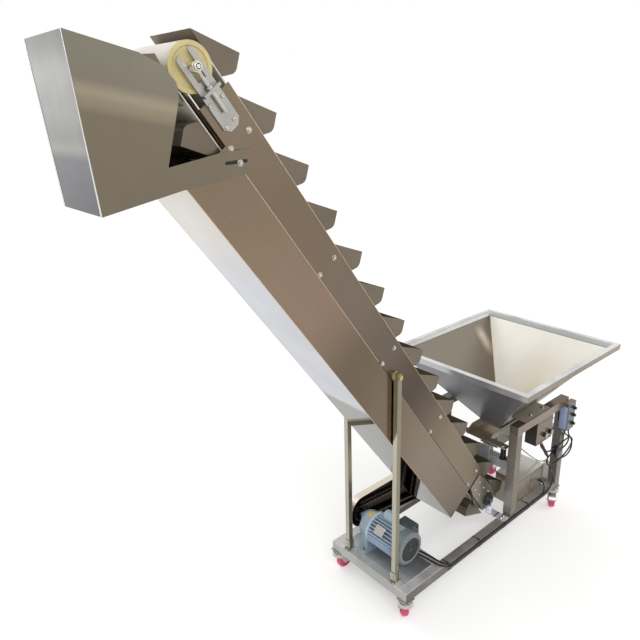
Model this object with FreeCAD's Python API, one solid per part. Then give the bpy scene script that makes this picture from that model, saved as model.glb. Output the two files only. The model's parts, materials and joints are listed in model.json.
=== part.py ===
"""Mobile inclined bucket elevator with a vibratory feed hopper.

Sheet stainless steel and square tube on four swivel casters.  Millimetres, +Z up,
+X towards the discharge head, +Y the near side (hopper controls), floor at Z = 0.
The conveyor is built flat in its own frame (a along the belt, p square to it,
origin on the tail shaft) and is then tilted and set in place.
"""
import FreeCAD
import Part
import math
import os

V = FreeCAD.Vector

# Dimensions
# base
TUBE = 40.0              # square tube of platform, legs and beams
RAIL_H = 30.0            # flat tube of the long rails
WIDTH = 420.0            # overall width over the rails
PLATFORM_L = 240.0       # motor platform, front to back
DECK_T = 3.0
CASTER_H = 102.0         # floor to the underside of the tube
REAR_LEG_X = 1124.0      # rear end of the frame behind the platform front
FRONT_LEG_X = 700.0      # front face of the stand's front legs
BEAM_TOP = 448.0         # hopper beams above the deck

# casters
WHEEL_R = 36.0
WHEEL_W = 28.0
CASTER_TRAIL = 26.0
AXLE_R = 4.0
HUB_R = 11.0
RIM_R = 25.0             # inside of the tread's side
WEB_IN = 4.0             # web set back from the tread's side
TREAD_BEVEL = 5.0
FORK_T = 2.5
FORK_GAP = 34.0
PLATE_T = 4.0
SWIVEL_R = 24.0
CROWN_R = 27.0           # bell of the fork round the swivel
CROWN_LOW = 75.0         # lower edge of the bell above the floor
STEM_R = 6.0
FIT = 0.05               # radial running clearance
SEAT = 0.3               # gap where curved or separate pieces seat

# conveyor
INCLINE = 54.0           # degrees
CENTRES = 2230.0         # tail shaft to head shaft
TAIL_BACK = 651.0        # tail shaft behind the platform front
TAIL_UP = 66.0           # tail shaft above the deck
PULLEY_R = 54.0
BELT_T = 3.0
BELT_W = 200.0
SHAFT_R = 10.0
SIDE_W = 229.0           # over the side plates
SIDE_T = 2.0
SIDE_FLANGE = 9.0
SIDE_TOP = 57.0          # upper edge of side plate above the shaft line
SEAM = 46.0              # lower edge of side plate below the shaft line
COVER_DEPTH = 194.0      # bottom cover below the shaft line
COVER_T = 1.5
SIDE_A0 = 180.0          # plates begin this far up from the tail shaft
SIDE_BACK = 80.0         # side plates end this far below the head shaft
COVER_BACK = 185.0       # covers end under the hood arm
TIE_R = 7.0
TIE_UP = [271.0, 660.0, 1124.0, 1567.0]            # back from the head shaft
TIE_LOW = [370.0, 677.0, 1020.0, 1380.0, 1799.0]

# buckets
BUCKETS = 28
BUCKET_LEAD = 4.0        # first bucket's centre below the head shaft
BUCKET_W = 200.0
BUCKET_T = 2.0
BUCKET_BACK = 125.0      # along the belt
BUCKET_OUT = 75.0        # lip above the belt
BUCKET_LIP_A = -51.5
BUCKET_TOE = (-79.5, 37.0)
BUCKET_TOE_R = 22.0

# head take-up and tail bearings
FORK_BACK = 168.0        # foot of the take-up plate below the head shaft
FORK_AHEAD = 38.0
FORK_W = 54.0
FORK_PLATE_T = 5.0
FORK_SLOT = 26.0
SLOT_BACK = 34.0
BAR_BACK = 66.0          # cross bar that holds the take-up screw
BAR_T = 8.0
BAR_OUT = 16.0
BOSS_OUT = 18.0          # bearing boss proud of the plate
SCREW_R = 4.0
SCREW_BACK = 122.0
NUT_R = 7.5
NUT_L = 7.0
DISC_T = 6.5             # end discs of the head roller
TAIL_PLATE_T = 5.0
BEARING_R = 31.0
BEARING_W = 22.0

# hood, outline as (forward, up) from the head shaft
HOOD_FRONT_TOP = (280.0, 68.0)
HOOD_FRONT_LOW = (254.0, -303.0)
HOOD_BACK = [(126.0, 28.0), (75.0, 4.0), (44.0, -32.0), (41.0, -64.0), (53.0, -104.0), (86.0, -213.0),
             (-54.0, -191.0), (-143.0, -184.0), (-135.0, -246.0), (54.0, -268.0)]
HOOD_HALF = 116.3
HOOD_T = 1.5

# hopper and feeder, measured from the platform front and the deck
HOP_X = 885.0
HOP_L = 760.0
HOP_W = 700.0
RIM = 25.0
RIM_TOP = 714.0
OUT_L = 140.0
OUT_W = 112.0
OUT_Z = 345.0
HOP_T = 2.0
TRAY_W = 124.0
TRAY_FLOOR = 308.0
TRAY_WALL = 34.0
TRAY_FRONT = 712.0       # front lip behind the platform front
TRAY_L = 390.0
WING_OUT = 155.0         # lugs reach this far from the centre plane
WING_UP = 316.0
WING_T = 4.0
MOUNT_R = 12.5
MOUNT_Y = 136.0
PAD_T = 5.0
FRONT_CROSS_UP = 257.0   # tops of the stand's cross members above the deck
BACK_CROSS_UP = 284.0

# boxes
CABINET_FRONT = 812.0
CABINET_L = 218.0
CABINET_W = 120.0
CABINET_UP = 105.0
CONTROLLER_FRONT = 862.0
CONTROLLER_L = 131.0
CONTROLLER_D = 57.0
CONTROLLER_UP = 290.0
PANEL_FRONT = 1080.0     # control panel on the rear leg
PANEL_L = 66.0
PANEL_D = 28.0
PANEL_LAP = 14.0         # its front cover laps round the leg
PANEL_UP = 293.0
PANEL_H = 139.0
KNOB_X = 1124.0
KNOB_UP = [402.0, 366.0, 322.0]
KNOB_R = 8.0
KNOB_L = 14.0
SOCKET_X = [925.0, 971.0]
SOCKET_UP = 327.0
SOCKET_R = 10.0

# drive
MOTOR_BACK = 109.0
MOTOR_UP = 105.0
FAN_R = 70.0
FAN_END = 134.0          # near end of the fan cover from the centre line
FIN_R = 66.0
SHAFT_RISE = 18.0        # output shaft above the motor axis
LEAD_D = 7.0             # motor and control leads
LEAD_SIDES = 8           # leads stay plain, with eight sides
CHAIN_Y = -151.0
CHAIN_PITCH = 12.7
DRIVER_TEETH = 16
DRIVEN_TEETH = 22
GUARD_TOP = 210.0
GUARD_T = 2.0

HALF = WIDTH / 2
DECK = CASTER_H + TUBE
HEAD_RUN = CENTRES * math.cos(math.radians(INCLINE))
HEAD_RISE = CENTRES * math.sin(math.radians(INCLINE))
# the frame's X = 0 is midway between the hood's front and the rim's rear
FRONT = (HOP_X + HOP_L / 2 - (HEAD_RUN - TAIL_BACK + HOOD_FRONT_TOP[0])) / 2
TAIL_X = FRONT - TAIL_BACK
TAIL_Z = DECK + TAIL_UP
SIDE_A1 = CENTRES - SIDE_BACK
COVER_A1 = CENTRES - COVER_BACK


# Helpers
def box(x0, x1, y0, y1, z0, z1):
    return Part.makeBox(x1 - x0, y1 - y0, z1 - z0, V(x0, y0, z0))


def cyl(r, h, base, axis=V(0, 0, 1)):
    return Part.makeCylinder(r, h, base, axis)


def ycyl(r, y0, y1, x, z):
    return Part.makeCylinder(r, y1 - y0, V(x, y0, z), V(0, 1, 0))


def prism(points, y0, y1):
    """Closed (x, z) outline swept along Y."""
    wire = Part.makePolygon([V(x, y0, z) for x, z in points] + [V(points[0][0], y0, points[0][1])])
    return Part.Face(wire).extrude(V(0, y1 - y0, 0))


def rounded(points, radii, y0, y1):
    """Outline of (x, z) points with a radius at each corner, swept along Y."""
    edges = []
    n = len(points)
    ends = []
    for i in range(n):
        p = V(points[i][0], y0, points[i][1])
        a = V(points[i - 1][0], y0, points[i - 1][1])
        b = V(points[(i + 1) % n][0], y0, points[(i + 1) % n][1])
        r = radii[i]
        if r <= 0:
            ends.append((p, p, None))
            continue
        u = (a - p).normalize()
        w = (b - p).normalize()
        half = u.getAngle(w) / 2
        d = r / math.tan(half)
        mid_dir = (u + w).normalize()
        centre = p + mid_dir * (r / math.sin(half))
        ends.append((p + u * d, p + w * d, centre - mid_dir * r))
    for i in range(n):
        s, e, m = ends[i]
        if m is not None:
            edges.append(Part.Arc(s, m, e).toShape())
        nxt = ends[(i + 1) % n][0]
        if e.distanceToPoint(nxt) > 1e-6:
            edges.append(Part.makeLine(e, nxt))
    return Part.Face(Part.Wire(edges)).extrude(V(0, y1 - y0, 0))


def fuse(shapes):
    out = shapes[0]
    for s in shapes[1:]:
        out = out.fuse(s)
    return out.removeSplitter()


def group(shapes):
    return Part.makeCompound(shapes)


def mirror_y(shape):
    return shape.mirror(V(0, 0, 0), V(0, 1, 0))


def both(shape):
    return group([shape, mirror_y(shape)])


def tilt(shape):
    """From the flat conveyor frame (a, y, p) to the machine."""
    s = shape.copy()
    s.rotate(V(0, 0, 0), V(0, 1, 0), -INCLINE)
    s.translate(V(TAIL_X, 0, TAIL_Z))
    return s


def place(x, y, z):
    """A point given from the platform front, the rails' near face and the deck."""
    return V(FRONT + x, HALF + y, DECK + z)


def lead(points, dia):
    """Lead along straight runs joined by the largest tangent arcs they allow."""
    pts = [place(*p) for p in points]
    at = pts[0]
    side = (pts[1] - at).cross(V(0.3, 0.5, 0.8)).normalize()
    up = (pts[1] - at).cross(side).normalize()
    turns = [2 * math.pi * k / LEAD_SIDES for k in range(LEAD_SIDES + 1)]
    ring = Part.makePolygon([at + side * (dia / 2 * math.cos(t)) + up * (dia / 2 * math.sin(t)) for t in turns])
    skin = [Part.Face(ring)]
    for before, here, after in zip(pts, pts[1:], pts[2:]):
        u, w = before - here, after - here
        reach = 0.45 * min(u.Length, w.Length)
        u.normalize()
        w.normalize()
        half = u.getAngle(w) / 2
        turn = 180 - 2 * math.degrees(half)
        centre = here + (u + w).normalize() * (reach / math.cos(half))
        start, end = here + u * reach, here + w * reach
        axis = (start - centre).cross(end - centre)
        skin += ring.extrude(start - at).Faces
        ring.translate(start - at)
        skin += ring.revolve(centre, axis, turn).Faces
        ring.rotate(centre, axis, turn)
        at = end
    skin += ring.extrude(pts[-1] - at).Faces
    ring.translate(pts[-1] - at)
    shell = Part.makeShell(skin + [Part.Face(ring)])
    shell.sewShape()
    return Part.makeSolid(shell)


def save(name, shape):
    shape.exportStep("parts/%s.step" % name)


os.makedirs("parts", exist_ok=True)

# Base frame
FZ = CASTER_H
ring = [
    box(FRONT - TUBE, FRONT, -HALF, HALF, FZ, DECK),
    box(FRONT - PLATFORM_L, FRONT - PLATFORM_L + TUBE, -HALF, HALF, FZ, DECK),
    box(FRONT - PLATFORM_L, FRONT, -HALF, -HALF + TUBE, FZ, DECK),
    box(FRONT - PLATFORM_L, FRONT, HALF - TUBE, HALF, FZ, DECK),
]
save("platform_frame", fuse(ring))
save("deck_plate", box(FRONT - PLATFORM_L + TUBE, FRONT - TUBE, -HALF + TUBE, HALF - TUBE, DECK - DECK_T, DECK))

RAIL_Z = FZ + RAIL_H
rail = box(FRONT - REAR_LEG_X + TUBE, FRONT - PLATFORM_L, HALF - TUBE, HALF, FZ, RAIL_Z)
rear_cross = box(FRONT - REAR_LEG_X, FRONT - REAR_LEG_X + TUBE, -HALF + TUBE, HALF - TUBE, FZ, RAIL_Z)
save("base_rails", group([rail, mirror_y(rail), rear_cross]))

# Hopper stand
BEAM_Z = DECK + BEAM_TOP
BEAM_LOW = BEAM_Z - TUBE
fleg = box(FRONT - FRONT_LEG_X - TUBE, FRONT - FRONT_LEG_X, HALF - TUBE, HALF, RAIL_Z, BEAM_LOW)
rleg = box(FRONT - REAR_LEG_X, FRONT - REAR_LEG_X + TUBE, HALF - TUBE, HALF, FZ, BEAM_LOW)
save("stand_front_legs", both(fleg))
save("stand_rear_legs", both(rleg))
beam = box(FRONT - REAR_LEG_X, FRONT - FRONT_LEG_X, HALF - TUBE, HALF, BEAM_LOW, BEAM_Z)
save("stand_beams", both(beam))


def cross(x0, top):
    return box(x0, x0 + 36, -HALF + TUBE, HALF - TUBE, top - TUBE, top)


FRONT_CROSS_TOP = DECK + FRONT_CROSS_UP
BACK_CROSS_TOP = DECK + BACK_CROSS_UP
front_cross = cross(FRONT - FRONT_LEG_X - 38, FRONT_CROSS_TOP)
stay = box(FRONT - FRONT_LEG_X - 2, FRONT - FRONT_LEG_X + 1, 22, 78, FRONT_CROSS_TOP - TUBE, FRONT_CROSS_TOP + 42)
save("stand_cross_members", group([fuse([front_cross, stay]), cross(FRONT - REAR_LEG_X + 2, BACK_CROSS_TOP)]))

# Support posts
POST = 20.0
POST_X = FRONT - 33.0
FOOT_H = 46.0
BUSH_T = 5.0
SIDE_OUT = SIDE_W / 2
POST_Y = SIDE_OUT + BUSH_T
PIVOT_Z = DECK + 885.0
PIVOT_X = POST_X + POST / 2
post = box(POST_X, POST_X + POST, POST_Y, POST_Y + POST, DECK, PIVOT_Z + 14)
post = post.cut(ycyl(5.3, POST_Y - 1, POST_Y + POST + 1, PIVOT_X, PIVOT_Z))
save("support_posts", both(post))


def foot(x_face, sign):
    """Angle bracket on one side of a post, legs 3 mm."""
    x1 = x_face + sign * 13
    lo, hi = min(x_face, x1), max(x_face, x1)
    low = box(lo, hi, POST_Y - 4, POST_Y + POST + 4, DECK, DECK + 3)
    xu = x_face + sign * 3
    up = box(min(x_face, xu), max(x_face, xu), POST_Y - 4, POST_Y + POST + 4, DECK, DECK + FOOT_H)
    return fuse([low, up])


feet = group([foot(POST_X + POST, 1), foot(POST_X, -1)])
save("post_feet", both(feet))
bush = ycyl(17, SIDE_OUT, POST_Y, PIVOT_X, PIVOT_Z)
bolt = fuse([ycyl(5, POST_Y - 1, POST_Y + POST + 8, PIVOT_X, PIVOT_Z), ycyl(9, POST_Y + POST, POST_Y + POST + 6, PIVOT_X, PIVOT_Z)])
save("post_pivots", both(fuse([bush, bolt])))

# Conveyor sides
SIDE_IN = SIDE_OUT - SIDE_T


def side_plate():
    web = box(SIDE_A0, SIDE_A1, SIDE_IN, SIDE_OUT, -SEAM, SIDE_TOP)
    top = box(SIDE_A0, SIDE_A1 - 90, SIDE_IN - SIDE_FLANGE + SIDE_T, SIDE_IN, SIDE_TOP - SIDE_T, SIDE_TOP)
    low = box(SIDE_A0, SIDE_A1, SIDE_IN - SIDE_FLANGE + SIDE_T, SIDE_IN, -SEAM, -SEAM + SIDE_T)
    return fuse([web, top, low])


side = tilt(side_plate())
save("side_plate_near", side)
save("side_plate_far", mirror_y(side))

cover = tilt(box(SIDE_A0, COVER_A1, SIDE_OUT - COVER_T, SIDE_OUT, -COVER_DEPTH, -SEAM))
save("side_cover_near", cover)
save("side_cover_far", mirror_y(cover))
pan = box(SIDE_A0, COVER_A1, -SIDE_OUT + COVER_T, SIDE_OUT - COVER_T, -COVER_DEPTH, -COVER_DEPTH + COVER_T)
save("bottom_cover", tilt(pan))

ties = [ycyl(TIE_R, -SIDE_IN, SIDE_IN, CENTRES - back, 34.0) for back in TIE_UP]
ties += [ycyl(TIE_R, -SIDE_IN, SIDE_IN, CENTRES - back, -28.0) for back in TIE_LOW]
save("cross_ties", tilt(group(ties)))

# Belt
BELT_IN = PULLEY_R + SEAT
BELT_OUT = BELT_IN + BELT_T


def loop(r, y0, y1, a1=CENTRES):
    s = Part.makeLine(V(0, y0, r), V(a1, y0, r))
    h = Part.Arc(V(a1, y0, r), V(a1 + r, y0, 0), V(a1, y0, -r)).toShape()
    b = Part.makeLine(V(a1, y0, -r), V(0, y0, -r))
    t = Part.Arc(V(0, y0, -r), V(-r, y0, 0), V(0, y0, r)).toShape()
    return Part.Face(Part.Wire([s, h, b, t])).extrude(V(0, y1 - y0, 0))


save("belt", tilt(loop(BELT_OUT, -BELT_W / 2, BELT_W / 2).cut(loop(BELT_IN, -BELT_W / 2 - 1, BELT_W / 2 + 1))))

# Buckets
BELT_MID = BELT_IN + BELT_T / 2
ARC = math.pi * BELT_MID
LOOP_LEN = 2 * CENTRES + 2 * ARC
PITCH = LOOP_LEN / BUCKETS


def bucket():
    """Scoop standing on the plane p = 0, centred on a = 0, mouth up the belt."""
    h = BUCKET_BACK / 2
    t = BUCKET_T
    outer_pts = [(h, 0), (BUCKET_LIP_A, BUCKET_OUT), BUCKET_TOE, (-h, 0)]
    outer = rounded(outer_pts, [0, 0, BUCKET_TOE_R, 0], -BUCKET_W / 2, BUCKET_W / 2)
    # inner outline: each wall moved in by its thickness, the mouth moved out
    inset = [-6.0, t, t, t]
    lines = []
    for i in range(4):
        p = V(outer_pts[i][0], 0, outer_pts[i][1])
        q = V(outer_pts[(i + 1) % 4][0], 0, outer_pts[(i + 1) % 4][1])
        d = (q - p).normalize()
        n = V(d.z, 0, -d.x)            # to the inside for this winding
        c = V((h + BUCKET_LIP_A) / 4, 0, BUCKET_OUT / 3)
        if (c - p).dot(n) < 0:
            n = n * -1
        lines.append((p + n * inset[i], d))

    def meet(l1, l2):
        (p, d), (q, e) = l1, l2
        den = d.x * e.z - d.z * e.x
        s = ((q.x - p.x) * e.z - (q.z - p.z) * e.x) / den
        m = p + d * s
        return (m.x, m.z)

    inner_pts = [meet(lines[i - 1], lines[i]) for i in range(4)]
    inner = rounded(inner_pts, [0, 0, BUCKET_TOE_R - t, 0], -BUCKET_W / 2 + t, BUCKET_W / 2 - t)
    return outer.cut(inner)


def on_loop(s):
    """Placement of a bucket whose centre is s along the loop from the tail."""
    s = s % LOOP_LEN
    r = BELT_OUT + SEAT
    if s <= CENTRES:
        return s, r, 0.0
    if s <= CENTRES + ARC:
        w = (s - CENTRES) / BELT_MID
        return CENTRES + r * math.sin(w), r * math.cos(w), math.degrees(w)
    if s <= 2 * CENTRES + ARC:
        return CENTRES - (s - CENTRES - ARC), -r, 180.0
    w = math.pi + (s - 2 * CENTRES - ARC) / BELT_MID
    return r * math.sin(w), r * math.cos(w), math.degrees(w)


one = bucket()
carry, back = [], []
for k in range(BUCKETS):
    a, p, turn = on_loop(CENTRES - BUCKET_LEAD - k * PITCH)
    b = one.copy()
    b.rotate(V(0, 0, 0), V(0, 1, 0), turn)
    b.translate(V(a, 0, p))
    (carry if turn == 0.0 else back).append(tilt(b))
save("buckets_carry_upper", group(carry[:7]))
save("buckets_carry_lower", group(carry[7:]))
save("buckets_return", group(back))

# Head roller
shell = ycyl(PULLEY_R, -BELT_W / 2, BELT_W / 2, CENTRES, 0)
for s in (-1, 1):
    y = s * BELT_W / 2
    y0, y1 = (y - 6, y + 1) if s > 0 else (y - 1, y + 6)
    shell = shell.cut(ycyl(PULLEY_R - 8, y0, y1, CENTRES, 0).cut(ycyl(20, y0, y1, CENTRES, 0)))
FORK_Y = SIDE_OUT + SEAT
PLATE_OUT = FORK_Y + FORK_PLATE_T
head_shaft = ycyl(SHAFT_R, -PLATE_OUT - BOSS_OUT - 4, PLATE_OUT + BOSS_OUT + 4, CENTRES, 0)
disc_y = BELT_W / 2 + 0.5
disc = ycyl(PULLEY_R + BELT_T, disc_y, disc_y + DISC_T, CENTRES, 0)
disc = disc.cut(ycyl(PULLEY_R - 8, disc_y + DISC_T - 2, disc_y + DISC_T, CENTRES, 0).cut(
    ycyl(20, disc_y, disc_y + DISC_T, CENTRES, 0)))
save("head_roller", tilt(fuse([shell, head_shaft, disc, mirror_y(disc)])))


BAR_A = CENTRES - BAR_BACK
SCREW_Y = PLATE_OUT + BAR_OUT / 2


def takeup_plate():
    """Plate with an open slot for the bearing block, corners cut at the foot."""
    h = FORK_W / 2
    a0, a1 = CENTRES - FORK_BACK, CENTRES + FORK_AHEAD
    pts = [(a0 + 14, -h), (a1 - 6, -h), (a1, -h + 6), (a1, h - 6), (a1 - 6, h), (a0 + 14, h), (a0, h - 14), (a0, -h + 14)]
    plate = prism(pts, FORK_Y, PLATE_OUT)
    slot = box(CENTRES - SLOT_BACK, a1 + 1, FORK_Y - 1, PLATE_OUT + 1, -FORK_SLOT / 2, FORK_SLOT / 2)
    plate = plate.cut(slot)
    bar = box(BAR_A, BAR_A + BAR_T, PLATE_OUT, PLATE_OUT + BAR_OUT, -h, h)
    hole = Part.makeCylinder(SCREW_R + SEAT, BAR_T + 2, V(BAR_A - 1, SCREW_Y, 0), V(1, 0, 0))
    return fuse([plate, bar.cut(hole)])


plate = tilt(takeup_plate())
save("takeup_plates", both(plate))
BOSS_R = FORK_SLOT / 2 - SEAT
boss = ycyl(BOSS_R, FORK_Y - 3, PLATE_OUT + BOSS_OUT, CENTRES, 0)
boss = boss.cut(ycyl(SHAFT_R + FIT, FORK_Y - 4, PLATE_OUT + BOSS_OUT + 1, CENTRES, 0))
rod_l = SCREW_BACK - BOSS_R - SEAT
rod = Part.makeCylinder(SCREW_R, rod_l, V(CENTRES - SCREW_BACK, SCREW_Y, 0), V(1, 0, 0))
nut = Part.makeCylinder(NUT_R, NUT_L, V(BAR_A + BAR_T + SEAT, SCREW_Y, 0), V(1, 0, 0))
save("takeup_blocks", both(tilt(boss)))
save("takeup_screws", both(tilt(fuse([rod, nut]))))

# Tail
tail_shell = ycyl(PULLEY_R, -BELT_W / 2, BELT_W / 2, 0, 0)
tail_shaft = ycyl(SHAFT_R, CHAIN_Y - 12, 140, 0, 0)
save("tail_roller", tilt(fuse([tail_shell, tail_shaft])))

TP_OUT = SIDE_IN - SEAT
pts = [(300, 51), (108, 51), (-55, 49), (-48, -24), (-27, -52), (56, -72), (171, -40), (300, -40)]
tp = prism(pts, TP_OUT - TAIL_PLATE_T, TP_OUT).cut(ycyl(SHAFT_R + 6, TP_OUT - 10, TP_OUT + 1, 0, 0))
save("tail_plates", both(tilt(tp)))


def bearing():
    y0 = TP_OUT
    flange = ycyl(BEARING_R, y0, y0 + 9, 0, 0)
    boss = Part.makeCone(BEARING_R - 7, BEARING_R - 12, BEARING_W - 9, V(0, y0 + 9, 0), V(0, 1, 0))
    return fuse([flange, boss]).cut(ycyl(SHAFT_R + SEAT, y0 - 1, y0 + BEARING_W + 1, 0, 0))


save("tail_bearings", both(tilt(bearing())))


def tail_strap():
    """Angle from the tail plate to the top of the long rail."""
    x1 = TAIL_X + 1
    x0 = x1 - 40
    z0 = RAIL_Z
    up = box(x0, x1, TP_OUT, TP_OUT + 5, z0, TAIL_Z - 34)
    flat = box(x0, x1, TP_OUT, HALF - 4, z0, z0 + 5)
    return fuse([up, flat])


save("tail_straps", both(tail_strap()))

# Discharge hood
HEAD_X = TAIL_X + HEAD_RUN
HEAD_Z = TAIL_Z + HEAD_RISE
HO = [(HEAD_X + x, HEAD_Z + z) for x, z in [HOOD_FRONT_TOP] + HOOD_BACK + [HOOD_FRONT_LOW]]
hs = prism(HO, HOOD_HALF - HOOD_T, HOOD_HALF)
save("hood_side_near", hs)
save("hood_side_far", mirror_y(hs))
ft, fl = HO[0], HO[-1]
front = prism([(ft[0] - HOOD_T, ft[1]), ft, fl, (fl[0] - HOOD_T, fl[1])], -HOOD_HALF + HOOD_T, HOOD_HALF - HOOD_T)
save("hood_front", front)

# Gear motor
MX = FRONT - MOTOR_BACK
MZ = DECK + MOTOR_UP
OZ = MZ + SHAFT_RISE
FAN_L = 42.0
BODY_L = 145.0
CASE_L = 47.0
CASE_R = 56.0
HUMP_R = 40.0
BODY_R = 52.0
fan = ycyl(FAN_R, FAN_END - FAN_L, FAN_END, MX, MZ)
fan = fan.makeFillet(12, [e for e in fan.Edges if abs(e.BoundBox.YMin - FAN_END) < 1e-6 and abs(e.BoundBox.YMax - FAN_END) < 1e-6])
save("fan_cover", fan.cut(ycyl(FAN_R - 20, FAN_END - 2, FAN_END + 1, MX, MZ)))

B1 = FAN_END - FAN_L
B0 = B1 - BODY_L
FINS = 28
fins = [ycyl(BODY_R, B0, B1, MX, MZ), ycyl(FIN_R + 1, B0, B0 + 9, MX, MZ)]
for i in range(FINS):
    f = box(BODY_R - 4, FIN_R, B0 + 8, B1, -1.5, 1.5)
    f.rotate(V(0, 0, 0), V(0, 1, 0), 360.0 * i / FINS)
    f.translate(V(MX, 0, MZ))
    fins.append(f)
capsule = ycyl(22, -15, 45, MX - 11, MZ + FIN_R + 19)
capsule = capsule.makeFillet(16, [e for e in capsule.Edges if e.BoundBox.YLength < 1e-3])
capsule = capsule.cut(ycyl(FIN_R + SEAT, -20, 50, MX, MZ))
save("motor_body", group([fuse(fins), capsule]))

G0 = B0 - CASE_L
case = [ycyl(CASE_R, G0, B0, MX, MZ), ycyl(HUMP_R, G0, B0, MX, OZ), ycyl(FIN_R + 1, B0 - 8, B0, MX, MZ)]
case.append(rounded([(MX - 46, MZ), (MX + 46, MZ), (MX + 50, DECK), (MX - 50, DECK)], [0, 0, 0, 0], G0 + 3, B0 - 10))
case.append(rounded([(MX - 72, DECK + 10), (MX + 72, DECK + 10), (MX + 72, DECK), (MX - 72, DECK)], [6, 6, 0, 0], G0 + 1, B0 - 1))
boss = ycyl(30, G0 - 16, G0 + 5, MX, OZ)
out_shaft = ycyl(10, CHAIN_Y - 9, G0, MX, OZ)
save("gearbox", fuse(case + [boss, out_shaft]))

TB = (MX - 81, MX - 26, MZ + 13, MZ + 67)
tb = rounded([(TB[0], TB[2]), (TB[0], TB[3]), (TB[1], TB[3]), (TB[1], TB[2])], [4, 8, 8, 0], 34, 104)
tb = tb.cut(ycyl(FIN_R + SEAT, 0, 120, MX, MZ)).cut(ycyl(FAN_R + SEAT, B1 - SEAT, 120, MX, MZ))
save("terminal_box", tb)

# Chain drive


def pitch_r(teeth):
    return CHAIN_PITCH / 2 / math.sin(math.pi / teeth)


DRIVER_R = pitch_r(DRIVER_TEETH)
DRIVEN_R = pitch_r(DRIVEN_TEETH)


def sprocket(teeth, x, z, bore, hub_r):
    """Toothed disc in the chain plane with a hub towards the machine."""
    r = pitch_r(teeth)
    pts = []
    for i in range(teeth):
        for d, rr in ((-0.30, r - 3.4), (-0.12, r + 2.4), (0.12, r + 2.4), (0.30, r - 3.4)):
            ang = 2 * math.pi * (i + d) / teeth
            pts.append((x + rr * math.cos(ang), z + rr * math.sin(ang)))
    s = prism(pts, CHAIN_Y - 2.5, CHAIN_Y + 2.5)
    s = s.fuse(ycyl(hub_r, CHAIN_Y, CHAIN_Y + 13, x, z))
    return s.cut(ycyl(bore + SEAT, CHAIN_Y - 4, CHAIN_Y + 14, x, z))


save("drive_sprocket", sprocket(DRIVER_TEETH, MX, OZ, 10, 20))
save("driven_sprocket", sprocket(DRIVEN_TEETH, TAIL_X, TAIL_Z, SHAFT_R, 24))


def chain_band(grow, y0, y1):
    """Outline of the chain run offset from its pitch line, as a solid."""
    x0, z0, r0 = TAIL_X, TAIL_Z, DRIVEN_R + grow
    x1, z1, r1 = MX, OZ, DRIVER_R + grow
    dx, dz = x1 - x0, z1 - z0
    base = math.atan2(dz, dx)
    off = math.acos((r0 - r1) / math.hypot(dx, dz))

    def pt(x, z, r, t):
        return V(x + r * math.cos(t), y0, z + r * math.sin(t))

    p0, p1 = pt(x0, z0, r0, base + off), pt(x1, z1, r1, base + off)
    q1, q0 = pt(x1, z1, r1, base - off), pt(x0, z0, r0, base - off)
    w = Part.Wire([
        Part.makeLine(p0, p1),
        Part.Arc(p1, pt(x1, z1, r1, base), q1).toShape(),
        Part.makeLine(q1, q0),
        Part.Arc(q0, pt(x0, z0, r0, base + math.pi), p0).toShape(),
    ])
    return Part.Face(w).extrude(V(0, y1 - y0, 0))


chain = chain_band(5.9, CHAIN_Y - 6, CHAIN_Y + 6).cut(chain_band(2.8, CHAIN_Y - 7, CHAIN_Y + 7))
save("drive_chain", chain)

GY0 = CHAIN_Y - 17
GY1 = CHAIN_Y + 15


def guard_shape(inset, y0, y1):
    i = inset
    pts = [(FRONT - 48 - i, DECK + GUARD_TOP - i), (FRONT - 48 - i, DECK + 78 + i),
           (FRONT - 716 + i, DECK - 3 + i), (FRONT - 716 + i, DECK + GUARD_TOP - i)]
    return rounded(pts, [60 - i, 50 - i, 60 - i, 10 - i], y0, y1)


guard = guard_shape(0, GY0, GY1).cut(guard_shape(GUARD_T, GY0 + GUARD_T, GY1 + 1))
guard = guard.cut(ycyl(14, GY0 - 1, GY0 + GUARD_T + 1, TAIL_X, TAIL_Z))
post_a = ycyl(7, GY0 + 1, -TP_OUT, FRONT - 588, DECK + 169)
post_b = ycyl(5, GY0 + 1, G0, MX - 44, OZ)
save("chain_guard", fuse([guard, post_a, post_b]))

# Hopper
HX = FRONT - HOP_X
RZ = DECK + RIM_TOP
rim = box(HX - HOP_L / 2, HX + HOP_L / 2, -HOP_W / 2, HOP_W / 2, RZ - RIM, RZ)
rim = rim.cut(box(HX - HOP_L / 2 + RIM, HX + HOP_L / 2 - RIM, -HOP_W / 2 + RIM, HOP_W / 2 - RIM, RZ - RIM - 1, RZ + 1))
save("hopper_rim", rim)


def rect(lx, wy, z):
    x, y = lx / 2, wy / 2
    return Part.makePolygon([V(HX - x, -y, z), V(HX + x, -y, z), V(HX + x, y, z), V(HX - x, y, z), V(HX - x, -y, z)])


def funnel(t):
    lx, wy = HOP_L - 2 * RIM - 2 * t, HOP_W - 2 * RIM - 2 * t
    band = box(HX - lx / 2, HX + lx / 2, -wy / 2, wy / 2, RZ - RIM, RZ - 2)
    cone = Part.makeLoft([rect(lx, wy, RZ - RIM), rect(OUT_L - 2 * t, OUT_W - 2 * t, DECK + OUT_Z)], True, True)
    spout = box(HX - OUT_L / 2 + t, HX + OUT_L / 2 - t, -OUT_W / 2 + t, OUT_W / 2 - t, DECK + OUT_Z - 12, DECK + OUT_Z)
    return fuse([band, cone, spout])


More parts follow.
